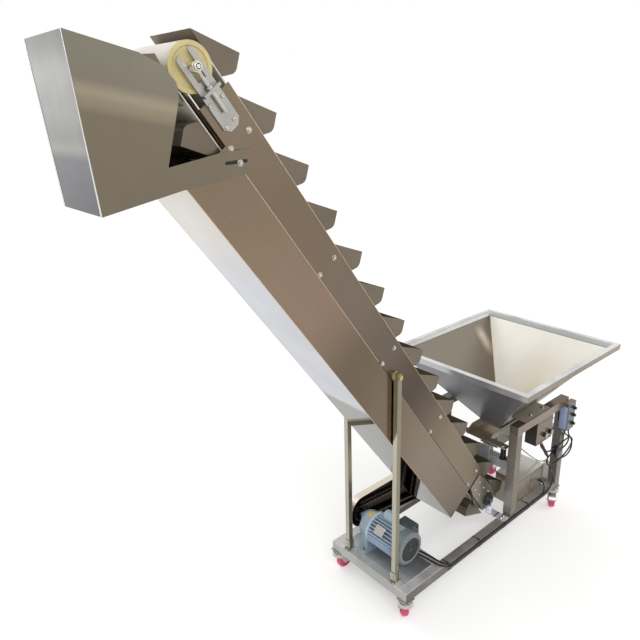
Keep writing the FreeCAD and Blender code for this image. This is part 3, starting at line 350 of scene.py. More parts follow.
# painted light in the steels below: tone stops are reflection and shade bands, faces give lit and shaded
# sides, zones are highlight patches
M = {
    "side": steel("side_sheet", (128, 114, 97), "a", 0.26, (TAIL_PLACE, TILT, SHEET_L, [
        (0.0, (134, 122, 104)), (0.2, (134, 121, 102)), (0.42, (84, 74, 65)), (0.52, (104, 93, 82)),
        (0.66, (118, 105, 93)), (0.8, (124, 108, 92)), (1.0, (134, 120, 102))]), smudge=0.05, lines=0.05),
    "cover": steel("lower_sheet", (128, 114, 98), "a", 0.20, (TAIL_PLACE, TILT, SHEET_L, [
        (0.08, (122, 111, 98)), (0.25, (136, 124, 110)), (0.42, (120, 106, 90)), (0.55, (106, 94, 80)),
        (0.68, (136, 116, 101)), (0.82, (136, 118, 100)), (1.0, (130, 116, 98))]), smudge=0.05, lines=0.05),
    "pan": steel("bottom_sheet", (214, 208, 204), "a", 0.05, (TAIL_PLACE, TILT, SHEET_L, [
        (0.1, (104, 102, 98)), (0.30, (106, 106, 100)), (0.46, (116, 116, 112)), (0.48, (184, 187, 194)),
        (0.75, (188, 190, 198)), (0.88, (196, 191, 184)), (0.95, (196, 184, 172))]), smudge=0.14, lines=0.04),
    "hood_side": steel("hood_side_sheet", (136, 128, 112), "z", 0.24,
        (HOOD_TOP, (0, math.radians(78), 0), 460, [
            (0.0, (138, 132, 118)), (0.13, (136, 129, 115)), (0.19, (160, 150, 129)), (0.23, (148, 139, 118)),
            (0.29, (126, 117, 101)), (0.7, (122, 113, 98)), (1.0, (118, 109, 96))]), smudge=0.07, lines=0.04),
    "hood_front": steel("hood_front_sheet", (190, 190, 192), "z", 0.10,
        (HOOD_FOOT, (0, math.radians(-86), 0), 372, [
            (0.0, (90, 90, 94)), (0.14, (104, 104, 110)), (0.30, (116, 116, 122)), (0.38, (162, 160, 156)),
            (0.44, (150, 149, 147)), (0.62, (172, 172, 170)), (0.80, (190, 189, 186)),
            (1.0, (160, 159, 157))]), smudge=0.26),
    "bucket": steel("bucket_sheet", (118, 107, 93), "y", 0.30, smudge=0.16, tint=(106, 100, 82), metal=0.65),
    "leg": steel("leg_tube", (158, 152, 146), "z", 0.26, smudge=0.20, tint=(116, 108, 96),
                 faces=((NEARWARD, (124, 117, 101)),), metal=0.6),
    "rail": steel("rail_tube", (112, 106, 98), "x", 0.22, smudge=0.30, tint=(200, 196, 196),
                  faces=((SKYWARD, (152, 147, 140)), (NEARWARD, (98, 92, 80))), metal=0.35),
    "beam": steel("beam_tube", (150, 138, 118), "x", 0.24, smudge=0.16,
                  faces=((SKYWARD, (98, 88, 74)), (FRONTWARD, (134, 128, 122)), (NEARWARD, (140, 124, 110))),
                  metal=0.5),
    "platform": steel("platform_tube", (168, 168, 166), "y", 0.20, lines=0.10, tint=(140, 140, 138),
                      faces=((SKYWARD, (212, 212, 210)), (FRONTWARD, (184, 185, 182)),
                             (NEARWARD, (104, 98, 88))), metal=0.3),
    "cross": steel("cross_tube", (206, 210, 214), "y", 0.20, smudge=0.20, tint=(140, 140, 138), metal=0.5),
    "deck": steel("deck_sheet", (120, 126, 130), "y", 0.16,
                  ((FRONT - 40, 0, DECK), BACK, 160, [
                      (0.0, (192, 196, 198)), (0.3, (164, 168, 170)), (0.65, (134, 135, 134)),
                      (1.0, (112, 111, 108))]),
                  smudge=0.28, lines=0.12, tint=(100, 100, 97), metal=0.3),
    "post": steel("post_steel", (150, 144, 132), "z", 0.20, smudge=0.14,
                  faces=((FRONTWARD, (186, 179, 163)), (NEARWARD, (140, 134, 116))), metal=0.8),
    "rim": steel("rim_steel", (196, 198, 200), "y", 0.18, smudge=0.20, tint=(132, 130, 128),
                 faces=((SKYWARD, (222, 223, 221)), (NEARWARD, (142, 128, 114))), metal=0.5),
    # hopper: walls lighter or darker by the way they look (painted reflection and shade), with painted
    # highlight and reflection patches
    "hopper": steel("hopper_sheet", (140, 130, 116), "y", 0.34, smudge=0.08, lines=0.03,
                    faces=((HOPPER_IN, (250, 246, 234)), (HOPPER_FAR, (112, 101, 86)),
                           (HOPPER_OUT, (126, 126, 132)), (HOPPER_NEAR, (98, 89, 78))), metal=0.25,
                    zones=((*GLARE, 22.0, (200, 188, 168)), (*CREAM_REFLECTION, 110.0, (226, 212, 184)),
                           (RIM_LOW, RIM_HIGH, 2.0, (238, 242, 244)))),
    "tray": steel("tray_sheet", (140, 130, 116), "x", 0.28,
                  faces=((SKYWARD, (156, 138, 116)), (FRONTWARD, (226, 226, 224)),
                         (NEARWARD, (172, 166, 154))), metal=0.5),
    "cabinet": steel("cabinet_sheet", (142, 130, 114), "x", 0.26, smudge=0.10,
                     faces=((SKYWARD, (206, 200, 192)), (FRONTWARD, (156, 147, 132))), metal=0.5),
    "controller": steel("controller_sheet", (120, 110, 92), "x", 0.26, smudge=0.08,
                        faces=((FRONTWARD, (90, 80, 72)),), metal=0.5),
    "panel": steel("panel_sheet", (104, 106, 106), "z", 0.24, smudge=0.12,
                   faces=((SKYWARD, (128, 110, 98)), (FRONTWARD, (112, 112, 114))), metal=0.5),
    "guard": steel("guard_sheet", (140, 132, 118), "x", 0.26, smudge=0.10,
                   faces=((SKYWARD, (222, 212, 194)), (NEARWARD, (50, 42, 36)))),
    "zinc": steel("zinc_plate", (178, 176, 170), "x", 0.30, smudge=0.16, lines=0.04, tint=(130, 128, 122)),
    "drive": steel("drive_housing", (150, 150, 140), "y", 0.34, smudge=0.2, lines=0.03,
                   tint=(112, 112, 100), metal=0.5),
    "cheek": steel("cheek_plate", (140, 135, 124), "a", 0.28, tint=(116, 110, 98), metal=0.7),
    "bell": steel("bell_zinc", (190, 187, 180), "x", 0.30, smudge=0.12, lines=0.03, tint=(150, 148, 142)),
    "bright": steel("bright_steel", (224, 222, 216), "a", 0.20, smudge=0.08, lines=0.04),
    "edge": steel("sheet_edge", (206, 188, 166), "a", 0.26, smudge=0.10, lines=0.04),
    "edge_white": paint("edge_white", (236, 238, 238), 0.25, (0.5, (150, 150, 148)), 0.05, 0.01),
    "strap": steel("strap_steel", (232, 236, 244), "x", 0.24, smudge=0.10, lines=0.04,
                   tint=(170, 178, 190), metal=0.5),
    "bolt": steel("bolt_steel", (196, 189, 177), "y", 0.22, smudge=0.10, lines=0.02),
    "brass": steel("brass", (200, 182, 120), "y", 0.30, smudge=0.2, lines=0.04),
    "belt": paint("white_belt", (230, 224, 212), 0.55, (0.12, (170, 160, 140)), 0.1),
    "yellow": paint("roller_end", (214, 198, 142), 0.42, (0.30, (150, 130, 80)), 0.1),
    "motor": paint("motor_paint", (160, 181, 193), 0.34, (0.30, (104, 112, 118)), 0.2, coat=0.2),
    # the dark core round the motor's axis is painted shade between the fins
    "fins": paint("fin_paint", (190, 210, 230), 0.32, (0.30, (112, 122, 132)), 0.2, coat=0.2,
                  axis_shade=(MOTOR, 50, 57, (34, 38, 46)),
                  zones=((*CAPACITOR, 2.0, (170, 192, 208)),)),
    "fan": paint("fan_paint", (118, 128, 129), 0.34, (0.35, (86, 92, 92)), 0.25, coat=0.2),
    "black": paint("black_plastic", (24, 24, 26), 0.34, (0.15, (70, 66, 62))),
    "dark": paint("dark_box", (72, 78, 76), 0.42, (0.25, (46, 50, 50))),
    "grille": paint("grille_shadow", (30, 31, 36), 0.6, (0.5, (62, 66, 72)), 0.4, 0.003),
    "rubber": paint("black_rubber", (20, 20, 21), 0.46, (0.2, (64, 60, 54))),
    "chain": steel("chain_steel", (66, 58, 52), "x", 0.36, smudge=0.3, lines=0.05),
    "iron": paint("cast_iron", (34, 36, 38), 0.5, (0.25, (84, 80, 74)), 0.5, 0.002),
    "red": paint("red_wheel", (222, 62, 112), 0.36, (0.15, (150, 50, 76)), 0.08, coat=0.4),
    "white": paint("white_plastic", (232, 230, 224), 0.40, (0.15, (170, 168, 160)), 0.08),
    "label": paint("bare_label", (226, 198, 70), 0.30, (0.15, (240, 226, 150)), 0.02, 0.01),
    "film": paint("blue_film", (170, 188, 226), 0.24, (0.25, (190, 202, 226)), 0.25, 0.006),
    "red_cap": paint("red_cap", (202, 38, 62), 0.35),
    "grey_lead": paint("grey_lead", (150, 148, 140), 0.45),
    "gap": paint("dark_gap", (14, 12, 10), 0.7),
}
BODY = {n: b for b, ns in frame["record"]["behaviour"]["bodies"].items() for n in ns}
LOOK = {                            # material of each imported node
    "belt": "belt", "bottom_cover": "pan", "side_cover_near": "cover", "side_cover_far": "cover",
    "side_plate_near": "side", "side_plate_far": "side", "hood_front": "hood_front",
    "hood_side_near": "hood_side", "hood_side_far": "hood_side", "platform_frame": "platform",
    "deck_plate": "deck", "base_rails": "rail", "stand_beams": "beam", "stand_cross_members": "cross",
    "support_posts": "post", "post_pivots": "brass", "hopper_rim": "rim", "hopper_shell": "hopper",
    "feeder_tray": "tray", "feeder_drive": "drive", "feeder_mounts": "rubber", "base_cabinet": "cabinet",
    "controller_box": "controller", "control_box": "panel", "control_knobs": "black", "fan_cover": "fan",
    "motor_body": "fins", "gearbox": "motor", "terminal_box": "dark", "drive_chain": "chain",
    "drive_sprocket": "chain", "driven_sprocket": "chain", "tail_bearings": "iron", "head_roller": "yellow",
    "tail_plates": "side", "takeup_plates": "zinc", "takeup_blocks": "bright", "takeup_screws": "zinc",
    "cross_ties": "zinc", "tail_roller": "zinc", "caster_plates": "zinc", "chain_guard": "guard",
    "post_feet": "zinc", "tail_straps": "strap", "stand_front_legs": "leg", "stand_rear_legs": "leg",
    "junction_box": "white", "stand_leads": "rubber", "rail_cables": "rubber",
}
ROUNDED = {                         # radius of a node's edges, in mm
    "platform_frame": 2.5, "base_rails": 2.5, "stand_front_legs": 2.5, "stand_rear_legs": 2.5,
    "stand_beams": 2.5, "stand_cross_members": 2.0, "support_posts": 1.6, "hopper_rim": 2.0,
    "base_cabinet": 2.0, "controller_box": 2.0, "terminal_box": 1.5, "takeup_plates": 0.7, "tail_straps": 0.8,
    "feeder_drive": 3.0,
}
for name, obj in NODES.items():
    look = LOOK.get(name)
    if look is None:
        look = ("bucket" if name.startswith("bucket") else "bell" if "fork" in name
                else "red" if "wheel" in name else "leg")
    obj.data.materials.clear()
    obj.data.materials.append(M[look])
    if name in ROUNDED:
        soft = obj.modifiers.new("rounded", "BEVEL")
        soft.width = ROUNDED[name] / 1000.0
        soft.segments = 3
        soft.limit_method = "ANGLE"
        soft.angle_limit = math.radians(40)
        soft.harden_normals = True


# mesh making
SHARP = math.radians(32)            # edges sharper than this stay sharp


def axes_for(axis, up=None):
    """Two directions square to an axis, the first nearest to up."""
    n = Vector(axis).normalized()
    u = Vector(up) if up is not None else (Z if abs(n.z) < 0.9 else X)
    u = (u - n * u.dot(n)).normalized()
    return n, u, n.cross(u)


class Form:
    """Closed forms gathered into one mesh piece."""

    def __init__(self):
        self.bm = bmesh.new()

    def lathe(self, at, axis, profile, seg=24, up=None, turn=0.0):
        """Profile of (radius mm, height mm) revolved round an axis."""
        n, u, v = axes_for(axis, up)
        rings = []
        for r, h in profile:
            c = Vector(at) + n * (h / 1000.0)
            if r <= 1e-6:
                rings.append([self.bm.verts.new(c)])
                continue
            rings.append([self.bm.verts.new(c + (u * math.cos(t) + v * math.sin(t)) * (r / 1000.0))
                          for t in (turn + 2 * math.pi * i / seg for i in range(seg))])
        for a, b in zip(rings, rings[1:]):
            for i in range(seg):
                j = (i + 1) % seg
                quad = [a[i % len(a)], a[j % len(a)], b[j % len(b)], b[i % len(b)]]
                face = list(dict.fromkeys(quad))
                if len(face) > 2:
                    self.bm.faces.new(face)
        return self

    def hexagon(self, at, axis, across, height, up=None, washer=0.0):
        """Hex head with a chamfered crown, on a washer if that has a width."""
        r = across / math.sqrt(3)
        if washer:
            rim = washer / 2
            self.lathe(at, axis, [(0, 0), (rim, 0), (rim, 1.0), (rim - 0.4, 1.4), (0, 1.4)], 20, up)
        self.lathe(at, axis, [(0, 0.2), (r, 0.2), (r, height - 0.8), (r * 0.86, height), (0, height)], 6, up,
                   RNG.uniform(0, 1.0))
        return self

    def button(self, at, axis, dia, height, up=None):
        """Round screw head with a socket."""
        r = dia / 2
        self.lathe(at, axis, [(0, 0), (r, 0), (r, height * 0.35), (r * 0.8, height * 0.8), (r * 0.45, height),
                              (r * 0.42, height * 0.55), (0, height * 0.55)], 16, up)
        return self

    def slab(self, outline, normal, thick, bevel=0.0):
        """Flat outline (world points) thickened along normal, in mm, with eased edges."""
        n = Vector(normal).normalized() * (thick / 1000.0)
        a = [self.bm.verts.new(Vector(p)) for p in outline]
        b = [self.bm.verts.new(Vector(p) + n) for p in outline]
        faces = [self.bm.faces.new(a[::-1]), self.bm.faces.new(b)]
        k = len(a)
        for i in range(k):
            faces.append(self.bm.faces.new((a[i], a[(i + 1) % k], b[(i + 1) % k], b[i])))
        bmesh.ops.recalc_face_normals(self.bm, faces=faces)
        if bevel:
            edges = list({e for f in faces for e in f.edges})
            bmesh.ops.bevel(self.bm, geom=edges, offset=bevel / 1000.0, segments=2,
                            affect="EDGES", profile=0.7)
        return self

    def block(self, lo, hi, bevel=0.8):
        """Machine-aligned block between two corners in metres, with eased edges."""
        pts = [(lo[0], lo[1], lo[2]), (hi[0], lo[1], lo[2]), (hi[0], hi[1], lo[2]), (lo[0], hi[1], lo[2])]
        return self.slab(pts, Z, (hi[2] - lo[2]) * 1000.0, bevel)

    def bar(self, p, q, width, height, up=Z, bevel=0.4):
        """Rectangular bar from p to q, sizes in mm."""
        n, u, v = axes_for(Vector(q) - Vector(p), up)
        w, h = v * (width / 2000.0), u * (height / 2000.0)
        pts = [Vector(p) - w - h, Vector(p) + w - h, Vector(p) + w + h, Vector(p) - w + h]
        return self.slab(pts, n, (Vector(q) - Vector(p)).length * 1000.0, bevel)

    def bent_sheet(self, centre, forward, side, widths, radii, degrees, steps=14):
        """Thin sheet bent round an axis along side; 0 degrees is forward, 90 is up."""
        (w0, w1), (r0, r1) = widths, radii
        sections = []
        for i in range(steps + 1):
            t = math.radians(degrees[0] + (degrees[1] - degrees[0]) * i / steps)
            d = forward * math.cos(t) + Z * math.sin(t)
            sections.append([self.bm.verts.new(centre + (side * w + d * r) / 1000.0)
                             for w, r in ((w0, r0), (w1, r0), (w1, r1), (w0, r1))])
        for a, b in zip(sections, sections[1:]):
            for k in range(4):
                self.bm.faces.new((a[k], a[(k + 1) % 4], b[(k + 1) % 4], b[k]))
        self.bm.faces.new(sections[0])
        self.bm.faces.new(sections[-1][::-1])
        return self

    def done(self, name, look, body="frame"):
        bmesh.ops.recalc_face_normals(self.bm, faces=self.bm.faces)
        mesh = bpy.data.meshes.new(name)
        self.bm.to_mesh(mesh)
        self.bm.free()
        mesh.polygons.foreach_set("use_smooth", [True] * len(mesh.polygons))
        mesh.set_sharp_from_angle(angle=SHARP)
        mesh.materials.append(M[look])
        obj = bpy.data.objects.new(name, mesh)
        bpy.context.scene.collection.objects.link(obj)
        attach(obj, body)
        return obj


def stadium(p, q, normal, radius, steps):
    """Outline of two half circles, round p and q, joined by straight sides."""
    along = (q - p).normalized()
    side = normal.cross(along)
    turns = [math.pi / 2 + math.pi * i / (steps - 1) for i in range(steps)]
    return [c + (along * math.cos(t + back) + side * math.sin(t + back)) * radius
            for c, back in ((p, 0), (q, math.pi)) for t in turns]


def spoke(degrees):
    """Direction square to Y, from X (0) towards the sky (90)."""
    return Vector((math.cos(math.radians(degrees)), 0, math.sin(math.radians(degrees))))


def smooth_curve(name, points, radius_mm, look):
    """A tied lead: a NURBS line with the route's points, given from the rails' near face."""
    curve = bpy.data.curves.new(name, "CURVE")
    curve.dimensions = "3D"
    curve.bevel_depth = radius_mm / 1000.0
    curve.bevel_resolution = 4
    curve.resolution_u = 10
    curve.use_fill_caps = True
    line = curve.splines.new("NURBS")
    line.points.add(len(points) - 1)
    for p, q in zip(line.points, points):
        p.co = (*rail(*q), 1.0)
    line.order_u = 3
    line.use_endpoint_u = True
    curve.materials.append(M[look])
    obj = bpy.data.objects.new(name, curve)
    bpy.context.scene.collection.objects.link(obj)
    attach(obj, "frame")
    return obj


# leads: the routes' points are those of the part's solids
CONTROL_LEAD = [
    (-1095, 12, 293), (-1095, 12, 268), (-1124, 12, 250), (-1148, 12, 226), (-1138, 12, 199),
    (-1098, 12, 189), (-1045, 12, 195), (-993, 12, 203), (-958, 13, 198), (-944, 16, 178),
    (-957, 21, 158), (-997, 26, 151), (-1045, 28, 157), (-1098, 28, 170), (-1140, 28, 192),
    (-1152, 28, 222), (-1130, 27, 245), (-1092, 25, 246), (-1045, 22, 236), (-1000, 17, 226),
    (-962, 10, 224), (-936, 2, 240), (-917, -8, 266), (-917, -8, 290)]
DRIVE_LEAD = [
    (-900, -165, 255), (-900, -147, 255), (-928, -124, 210), (-975, -98, 158), (-1018, -76, 116),
    (-1054, -62, 96), (-1086, -56, 98), (-1102, -57, 92), (-1102, -57, 72)]
MOTOR_LEAD = [
    (-1115, 19.7, 293), (-1115, 19.7, 264), (-1146, 19.7, 232), (-1168, 19.7, 196), (-1166, 19.7, 160),
    (-1138, 19.7, 140), (-1095, 19.7, 142), (-1050, 19.7, 152), (-1010, 17.5, 150), (-988, 14, 134),
    (-1000, 11, 108), (-1028, 9, 84), (-1045, 8, 56), (-1046, 6, 26), (-1036, 4.2, -2), (-1008, 3.9, -20),
    (-970, 3.9, -24), (-300, 3.9, -24.1), (-252, 4.1, -16), (-228, 5.5, 5), (-214, -12, 6), (-211, -60, 3.9),
    (-206, -104, 3.9), (-196, -128, 6), (-183, -138, 32), (-179, -140, 76), (-179, -140, 118)]
CABINET_LEAD = [
    (-1000, -40, 30), (-1000, -26, 30), (-992, -6, 20), (-978, 4.2, 4), (-955, 3.9, -14), (-920, 3.9, -16),
    (-310, 3.9, -15.9), (-270, 3.9, -9), (-246, 4.2, 5), (-234, -12, 5), (-230, -60, 3.9), (-226, -118, 3.9),
    (-206, -145, 6), (-184, -155, 30), (-179, -157, 75), (-179, -157, 118)]
stand_wires = [smooth_curve("control_lead", CONTROL_LEAD, 3.5, "rubber"),
               smooth_curve("drive_lead", DRIVE_LEAD, 2.5, "grey_lead")]
rail_wires = [smooth_curve("motor_lead", MOTOR_LEAD, 3.5, "rubber"),
              smooth_curve("cabinet_lead", CABINET_LEAD, 3.5, "rubber")]
for wire in stand_wires:
    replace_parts(wire, "stand_leads")
for wire in rail_wires:
    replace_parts(wire, "rail_cables")

glands = Form()
GLAND = [(0, 0), (6.5, 0), (6.5, 3), (5.6, 3.4), (5.6, 8), (4.6, 11), (3.4, 12), (0, 12)]
for at, axis in ((CONTROL_LEAD[0], -Z), (MOTOR_LEAD[0], -Z), (CABINET_LEAD[0], Y),
                 (MOTOR_LEAD[-1], -Z), (CABINET_LEAD[-1], -Z)):
    glands.lathe(rail(*at), axis, GLAND, 16)
glands.done("lead_glands", "black")
sleeve = Form()
top, end = rail(-917, -8, 284), rail(-964, 10, 197)
drop = (end - top).length * 1000
sleeve.lathe(top, end - top, [(0, 0), (6.4, 0), (7.2, 2), (7.2, 40), (6.2, 42), (6.2, 46), (7.2, 48),
                              (7.2, drop - 14), (5.0, drop - 8), (5.0, drop), (0, drop)], 20)
sleeve.done("inline_socket", "rubber")
collar = Form()
collar.lathe(rail(*CONTROL_LEAD[-1]), -Z, [(0, 0), (8.8, 0), (8.8, 9), (7.8, 11), (0, 11)], 20)
collar.done("red_collar", "red_cap")


def tie_loop(form, points, wide, thick, across):
    """Band laid through points, with its width along across."""
    for p, q in zip(points, points[1:] + points[:1]):
        n = (q - p).normalized()
        form.bar(p - n * 0.0006, q + n * 0.0006, thick, wide, across, 0.3)
    return form


# the band round rail and leads, as (out from the rail, above the deck)
TIE = ((-40.6, -9.4), (2, -9.4), (8.2, -12.4), (8.2, -27.6), (0.8, -33), (0.6, -40.6), (-40.6, -40.6))
ties = Form()
for x in (-264, -473, -654, -846):
    tie_loop(ties, [rail(x, y, z) for y, z in TIE], 4.2, 1.0, X)
    ties.block(rail(x - 3.5, -14, -9), rail(x + 3.5, -6, -5.6), 0.6)
ties.done("cable_ties", "rubber")
hank_tie = Form()
turns = [2 * math.pi * i / 14 for i in range(14)]
tie_loop(hank_tie, [rail(-1025 + 9 * math.sin(t), 19 + 14.5 * math.cos(t), 214 + 27 * math.sin(t))
                    for t in turns], 3.6, 1.0, X)
hank_tie.bar(rail(-1016, 33, 228), rail(-1004, 36, 243), 2.6, 1.0, Y, 0.3)
hank_tie.done("hank_tie", "black")
plug = Form()
plug.block(rail(-1030, 6, 196), rail(-1004, 30, 234), 4.0)
plug.lathe(rail(-1017, 18, 196), -Z, [(0, -1), (8, -1), (7, 16), (4.4, 18), (0, 18)], 18)
plug.done("hank_plug", "black")

# conveyor trim, as places up the belt (a) and square to it (p)
UPPER_EDGE, FOLD, LOWER_EDGE = 56.6, -46.4, -193.4
FOLD_SPLIT = 1140                   # the cover's edge has a painted highlight above this
BOLT_ROWS, BOLT_LINES = (2031, 1570, 1120, 666, 215), (31, -39)
TAKEUP_SCREWS = ((2080, 11), (2077, -18), (2142, -22), (2139, 20))
CHEEK_SCREWS = ((141, 14), (87, 15), (140, -26), (89, -22), (37, 24))
TAIL_CHEEK = ((176, 34), (84, 48), (-42, 40), (-40, -24), (-6, -52), (120, -52), (176, -40))
WASHER = [(0, 0), (8.8, 0), (8.8, 0.9), (8.3, 1.3), (0, 1.3)]
HOOD_SIDE = 116.4                   # outside of the hood's arms, from the centre plane
SLOT_R = 0.0042                     # half width of the slots in them, in metres
# bright bars along the sheets' edges and the upper part of the seam are painted highlight; below FOLD_SPLIT
# the seam is a dark hairline
seam, hair = Form(), Form()
for s in NEAR_FAR:
    y = s * (SIDE_OUT + 0.2)
    seam.bar(belt(FOLD_SPLIT, y, FOLD), belt(1984, y, FOLD), 1.4, 1.6, UP, 0.3)
    hair.bar(belt(186, y, FOLD), belt(FOLD_SPLIT, y, FOLD), 0.8, 1.4, UP, 0.2)
    y = s * (SIDE_OUT - 0.4)
    seam.bar(belt(186, y, UPPER_EDGE), belt(2140, y, UPPER_EDGE), 2.2, 1.4, UP, 0.3)
    y = s * (SIDE_OUT - 0.2)
    seam.bar(belt(196, y, LOWER_EDGE), belt(2040, y, LOWER_EDGE), 1.6, 1.4, UP, 0.3)
seam.done("seam_edge_highlights", "edge")
hair.done("seam_hairline", "gap")

bolts, washers = Form(), Form()
for s in NEAR_FAR:
    y = s * SIDE_OUT
    for a in BOLT_ROWS:
        for p in BOLT_LINES:
            bolts.hexagon(belt(a, y, p), Y * s, 9.5, 6, UP)
            washers.lathe(belt(a, y, p), Y * s, WASHER, 20)
    for a, p in TAKEUP_SCREWS:
        bolts.button(belt(a, y + s * 5.3, p), Y * s, 11, 4.5, UP)
    for a, p in CHEEK_SCREWS:
        bolts.button(belt(a, y + s * 3.4, p), Y * s, 10, 3.8, UP)
    arm = belt(1989, s * HOOD_SIDE, -41)
    bolts.hexagon(arm, Y * s, 9.5, 6, UP)
    washers.lathe(arm, Y * s, WASHER, 20)
bolts.done("conveyor_bolts", "bolt")
washers.done("conveyor_washers", "zinc")

# the hood arms' slots drawn as dark sheet: painted shade in the openings
slots = Form()
for s in NEAR_FAR:
    y = s * (HOOD_SIDE + 0.1)
    slots.slab(stadium(belt(2014, y, -71), belt(1982, y, -24), Y * s, SLOT_R, 8), Y * s, 0.3)
    y = s * (HOOD_SIDE - 1.6)
    slots.bar(belt(2030, y, -47), belt(2012, y, -19), 0.5, 4.0, UP, 0.1)
slots.done("hood_arm_slot_shade", "gap")

# a thin bright strip on the hood's front corner: the bend is real, its brightness is painted highlight
fold = Form()
for s in NEAR_FAR:
    y = s * (HOOD_SIDE - 0.1)
    top = mm(HEAD.x + 280.2, y, HEAD.z + 68)
    foot = mm(HEAD.x + 254.2, y, HEAD.z - 303)
    fold.slab([top, foot, foot - Y * s * 0.009, top - Y * s * 0.003], X, 0.5, 0.15)
fold.done("hood_corner_highlight", "bright")

shaft = Form()
# dark rings in the shaft ends' grooves: painted shade in the recess
groove = Form()
low, high = corners("head_roller")
for s in NEAR_FAR:
    at = mm(HEAD.x, high.y * s, HEAD.z)
    shaft.lathe(at, Y * s, [(0, 0), (9.4, 0), (9.4, 0.8), (8.6, 1.4), (6.8, 1.4), (6.8, 0.5), (4.6, 0.5),
                            (4.6, 1.6), (3.6, 2.2), (2.0, 2.2), (1.6, 0.6), (0, 0.6)], 28, UP)
    groove.lathe(at, Y * s, [(4.7, 0.2), (6.7, 0.2), (6.7, 0.62), (4.7, 0.62), (4.7, 0.2)], 28, UP)
shaft.done("head_shaft_ends", "bright", BODY["head_roller"])
groove.done("head_shaft_groove_shade", "gap", BODY["head_roller"])

# chain: plates on pins along the two straight runs and round both sprockets
PITCH = 12.7
DRIVEN_TEETH, DRIVER_TEETH = 22, 16
PLATES = ((5.4, 4.8), (4.9, 3.2))   # outer and inner: half width, place along the pins
PLATE_T = 1.4


def pitch_radius(teeth):
    return PITCH / 2 / math.sin(math.pi / teeth)


c0, c1 = middle("driven_sprocket"), OUTPUT
chain_y = middle("drive_chain").y
r0, r1 = pitch_radius(DRIVEN_TEETH), pitch_radius(DRIVER_TEETH)
span = math.hypot(c1.x - c0.x, c1.z - c0.z)
base = math.atan2(c1.z - c0.z, c1.x - c0.x)
off = math.acos((r0 - r1) / span)
run = math.sqrt(span ** 2 - (r0 - r1) ** 2)
arc1, arc0 = 2 * off * r1, (2 * math.pi - 2 * off) * r0
total = 2 * run + arc0 + arc1


def on_circle(c, r, t):
    return Vector((c.x + r * math.cos(t), 0, c.z + r * math.sin(t)))


def on_chain(s):
    """The point s mm along the pitch line, counted from the driven sprocket."""
    s %= total
    if s < run:
        t = base + off
        return on_circle(c0, r0, t).lerp(on_circle(c1, r1, t), s / run)
    if s < run + arc1:
        return on_circle(c1, r1, base + off - (s - run) / r1)
    if s < 2 * run + arc1:
        t = base - off
        return on_circle(c1, r1, t).lerp(on_circle(c0, r0, t), (s - run - arc1) / run)
    return on_circle(c0, r0, base - off - (s - 2 * run - arc1) / r0)


links, pins = Form(), Form()
count = 2 * round(total / PITCH / 2)
stops = [on_chain(total * i / count) for i in range(count)]
for i, p in enumerate(stops):
    half_width, beside = PLATES[i % 2]
    outline = stadium(p, stops[(i + 1) % count], -Y, half_width, 7)
    for s in NEAR_FAR:
        links.slab([(w + Y * (chain_y + s * beside)) / 1000.0 for w in outline], Y * s, PLATE_T)
    pins.lathe((p + Y * (chain_y - 6.8)) / 1000.0, Y, [(0, 0), (1.9, 0), (1.9, 13.6), (0, 13.6)], 8)
    pins.lathe((p + Y * (chain_y - 3.1)) / 1000.0, Y, [(0, 0), (4.0, 0), (4.0, 6.2), (0, 6.2)], 10)
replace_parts(links.done("chain_links", "chain"), "drive_chain")
pins.done("chain_pins", "zinc")

# tail: bolts, cheek plates and the strap's band
tail_bits, cheeks = Form(), Form()
for s in NEAR_FAR:
    strap_top = mm(TAIL_X - 20, s * (SIDE_OUT + 3), TAIL_Z - 44)
    tail_bits.hexagon(strap_top, Y * s, 10, 6, Z)
    for x in (-30, -10):
        tail_bits.hexagon(mm(TAIL_X + x, s * (HALF - 22), DECK - 5), Z, 10, 6, X, 17)
    outline = [belt(a, s * (SIDE_OUT + 0.4), p) for a, p in TAIL_CHEEK]
    cheeks.slab(outline, Y * s, 3.0, 0.5)
tail_bits.done("tail_bolts", "bolt")
cheeks.done("tail_cheeks", "cheek")
band, band_y = Form(), HALF - 52
tie_loop(band, [mm(TAIL_X + x, band_y, DECK + z) for x, z in ((-39.6, -4.6), (1.6, -4.6), (1.6, -10.4),
                                                              (-39.6, -10.4))], 5, 0.8, Y)
band.done("strap_band", "rubber")

# platform: butt welds drawn as bright lines, real welds with painted highlight, feet and bolts
RAIL_IN, RAIL_OUT = 170, 209.5      # sides of the tubes, from the centre plane
FRONT_IN, BACK_IN = -40, -200       # inner edges of the platform's cross tubes
SKIN = 0.1                          # weld lines lie this far above the deck's level
BEAM_LOW = 408
# bright lines at the tube joints: real welds, their brightness painted highlight
welds = Form()
for s in NEAR_FAR:
    for x in (FRONT_IN, BACK_IN):
        welds.bar(deck(x, s * RAIL_IN, SKIN), deck(x, s * RAIL_OUT, SKIN), 1.4, 0.7, Z, 0.2)
    welds.bar(deck(FRONT_IN, s * RAIL_IN, SKIN), deck(-0.6, s * RAIL_IN, SKIN), 1.4, 0.7, Z, 0.2)
    welds.bar(deck(BACK_IN, s * RAIL_IN, SKIN), deck(-239.4, s * RAIL_IN, SKIN), 1.2, 0.7, Z, 0.2)
    welds.bar(deck(BACK_IN, s * RAIL_IN, SKIN), deck(FRONT_IN, s * RAIL_IN, SKIN), 0.9, 0.5, Z, 0.15)
    welds.bar(deck(-240.2, s * 209.8, -10), deck(-240.2, s * RAIL_IN, -10), 1.6, 1.2, Z, 0.3)
for x in (FRONT_IN, BACK_IN):
    welds.bar(deck(x, -RAIL_IN, SKIN), deck(x, RAIL_IN, SKIN), 1.1, 0.6, Z, 0.2)
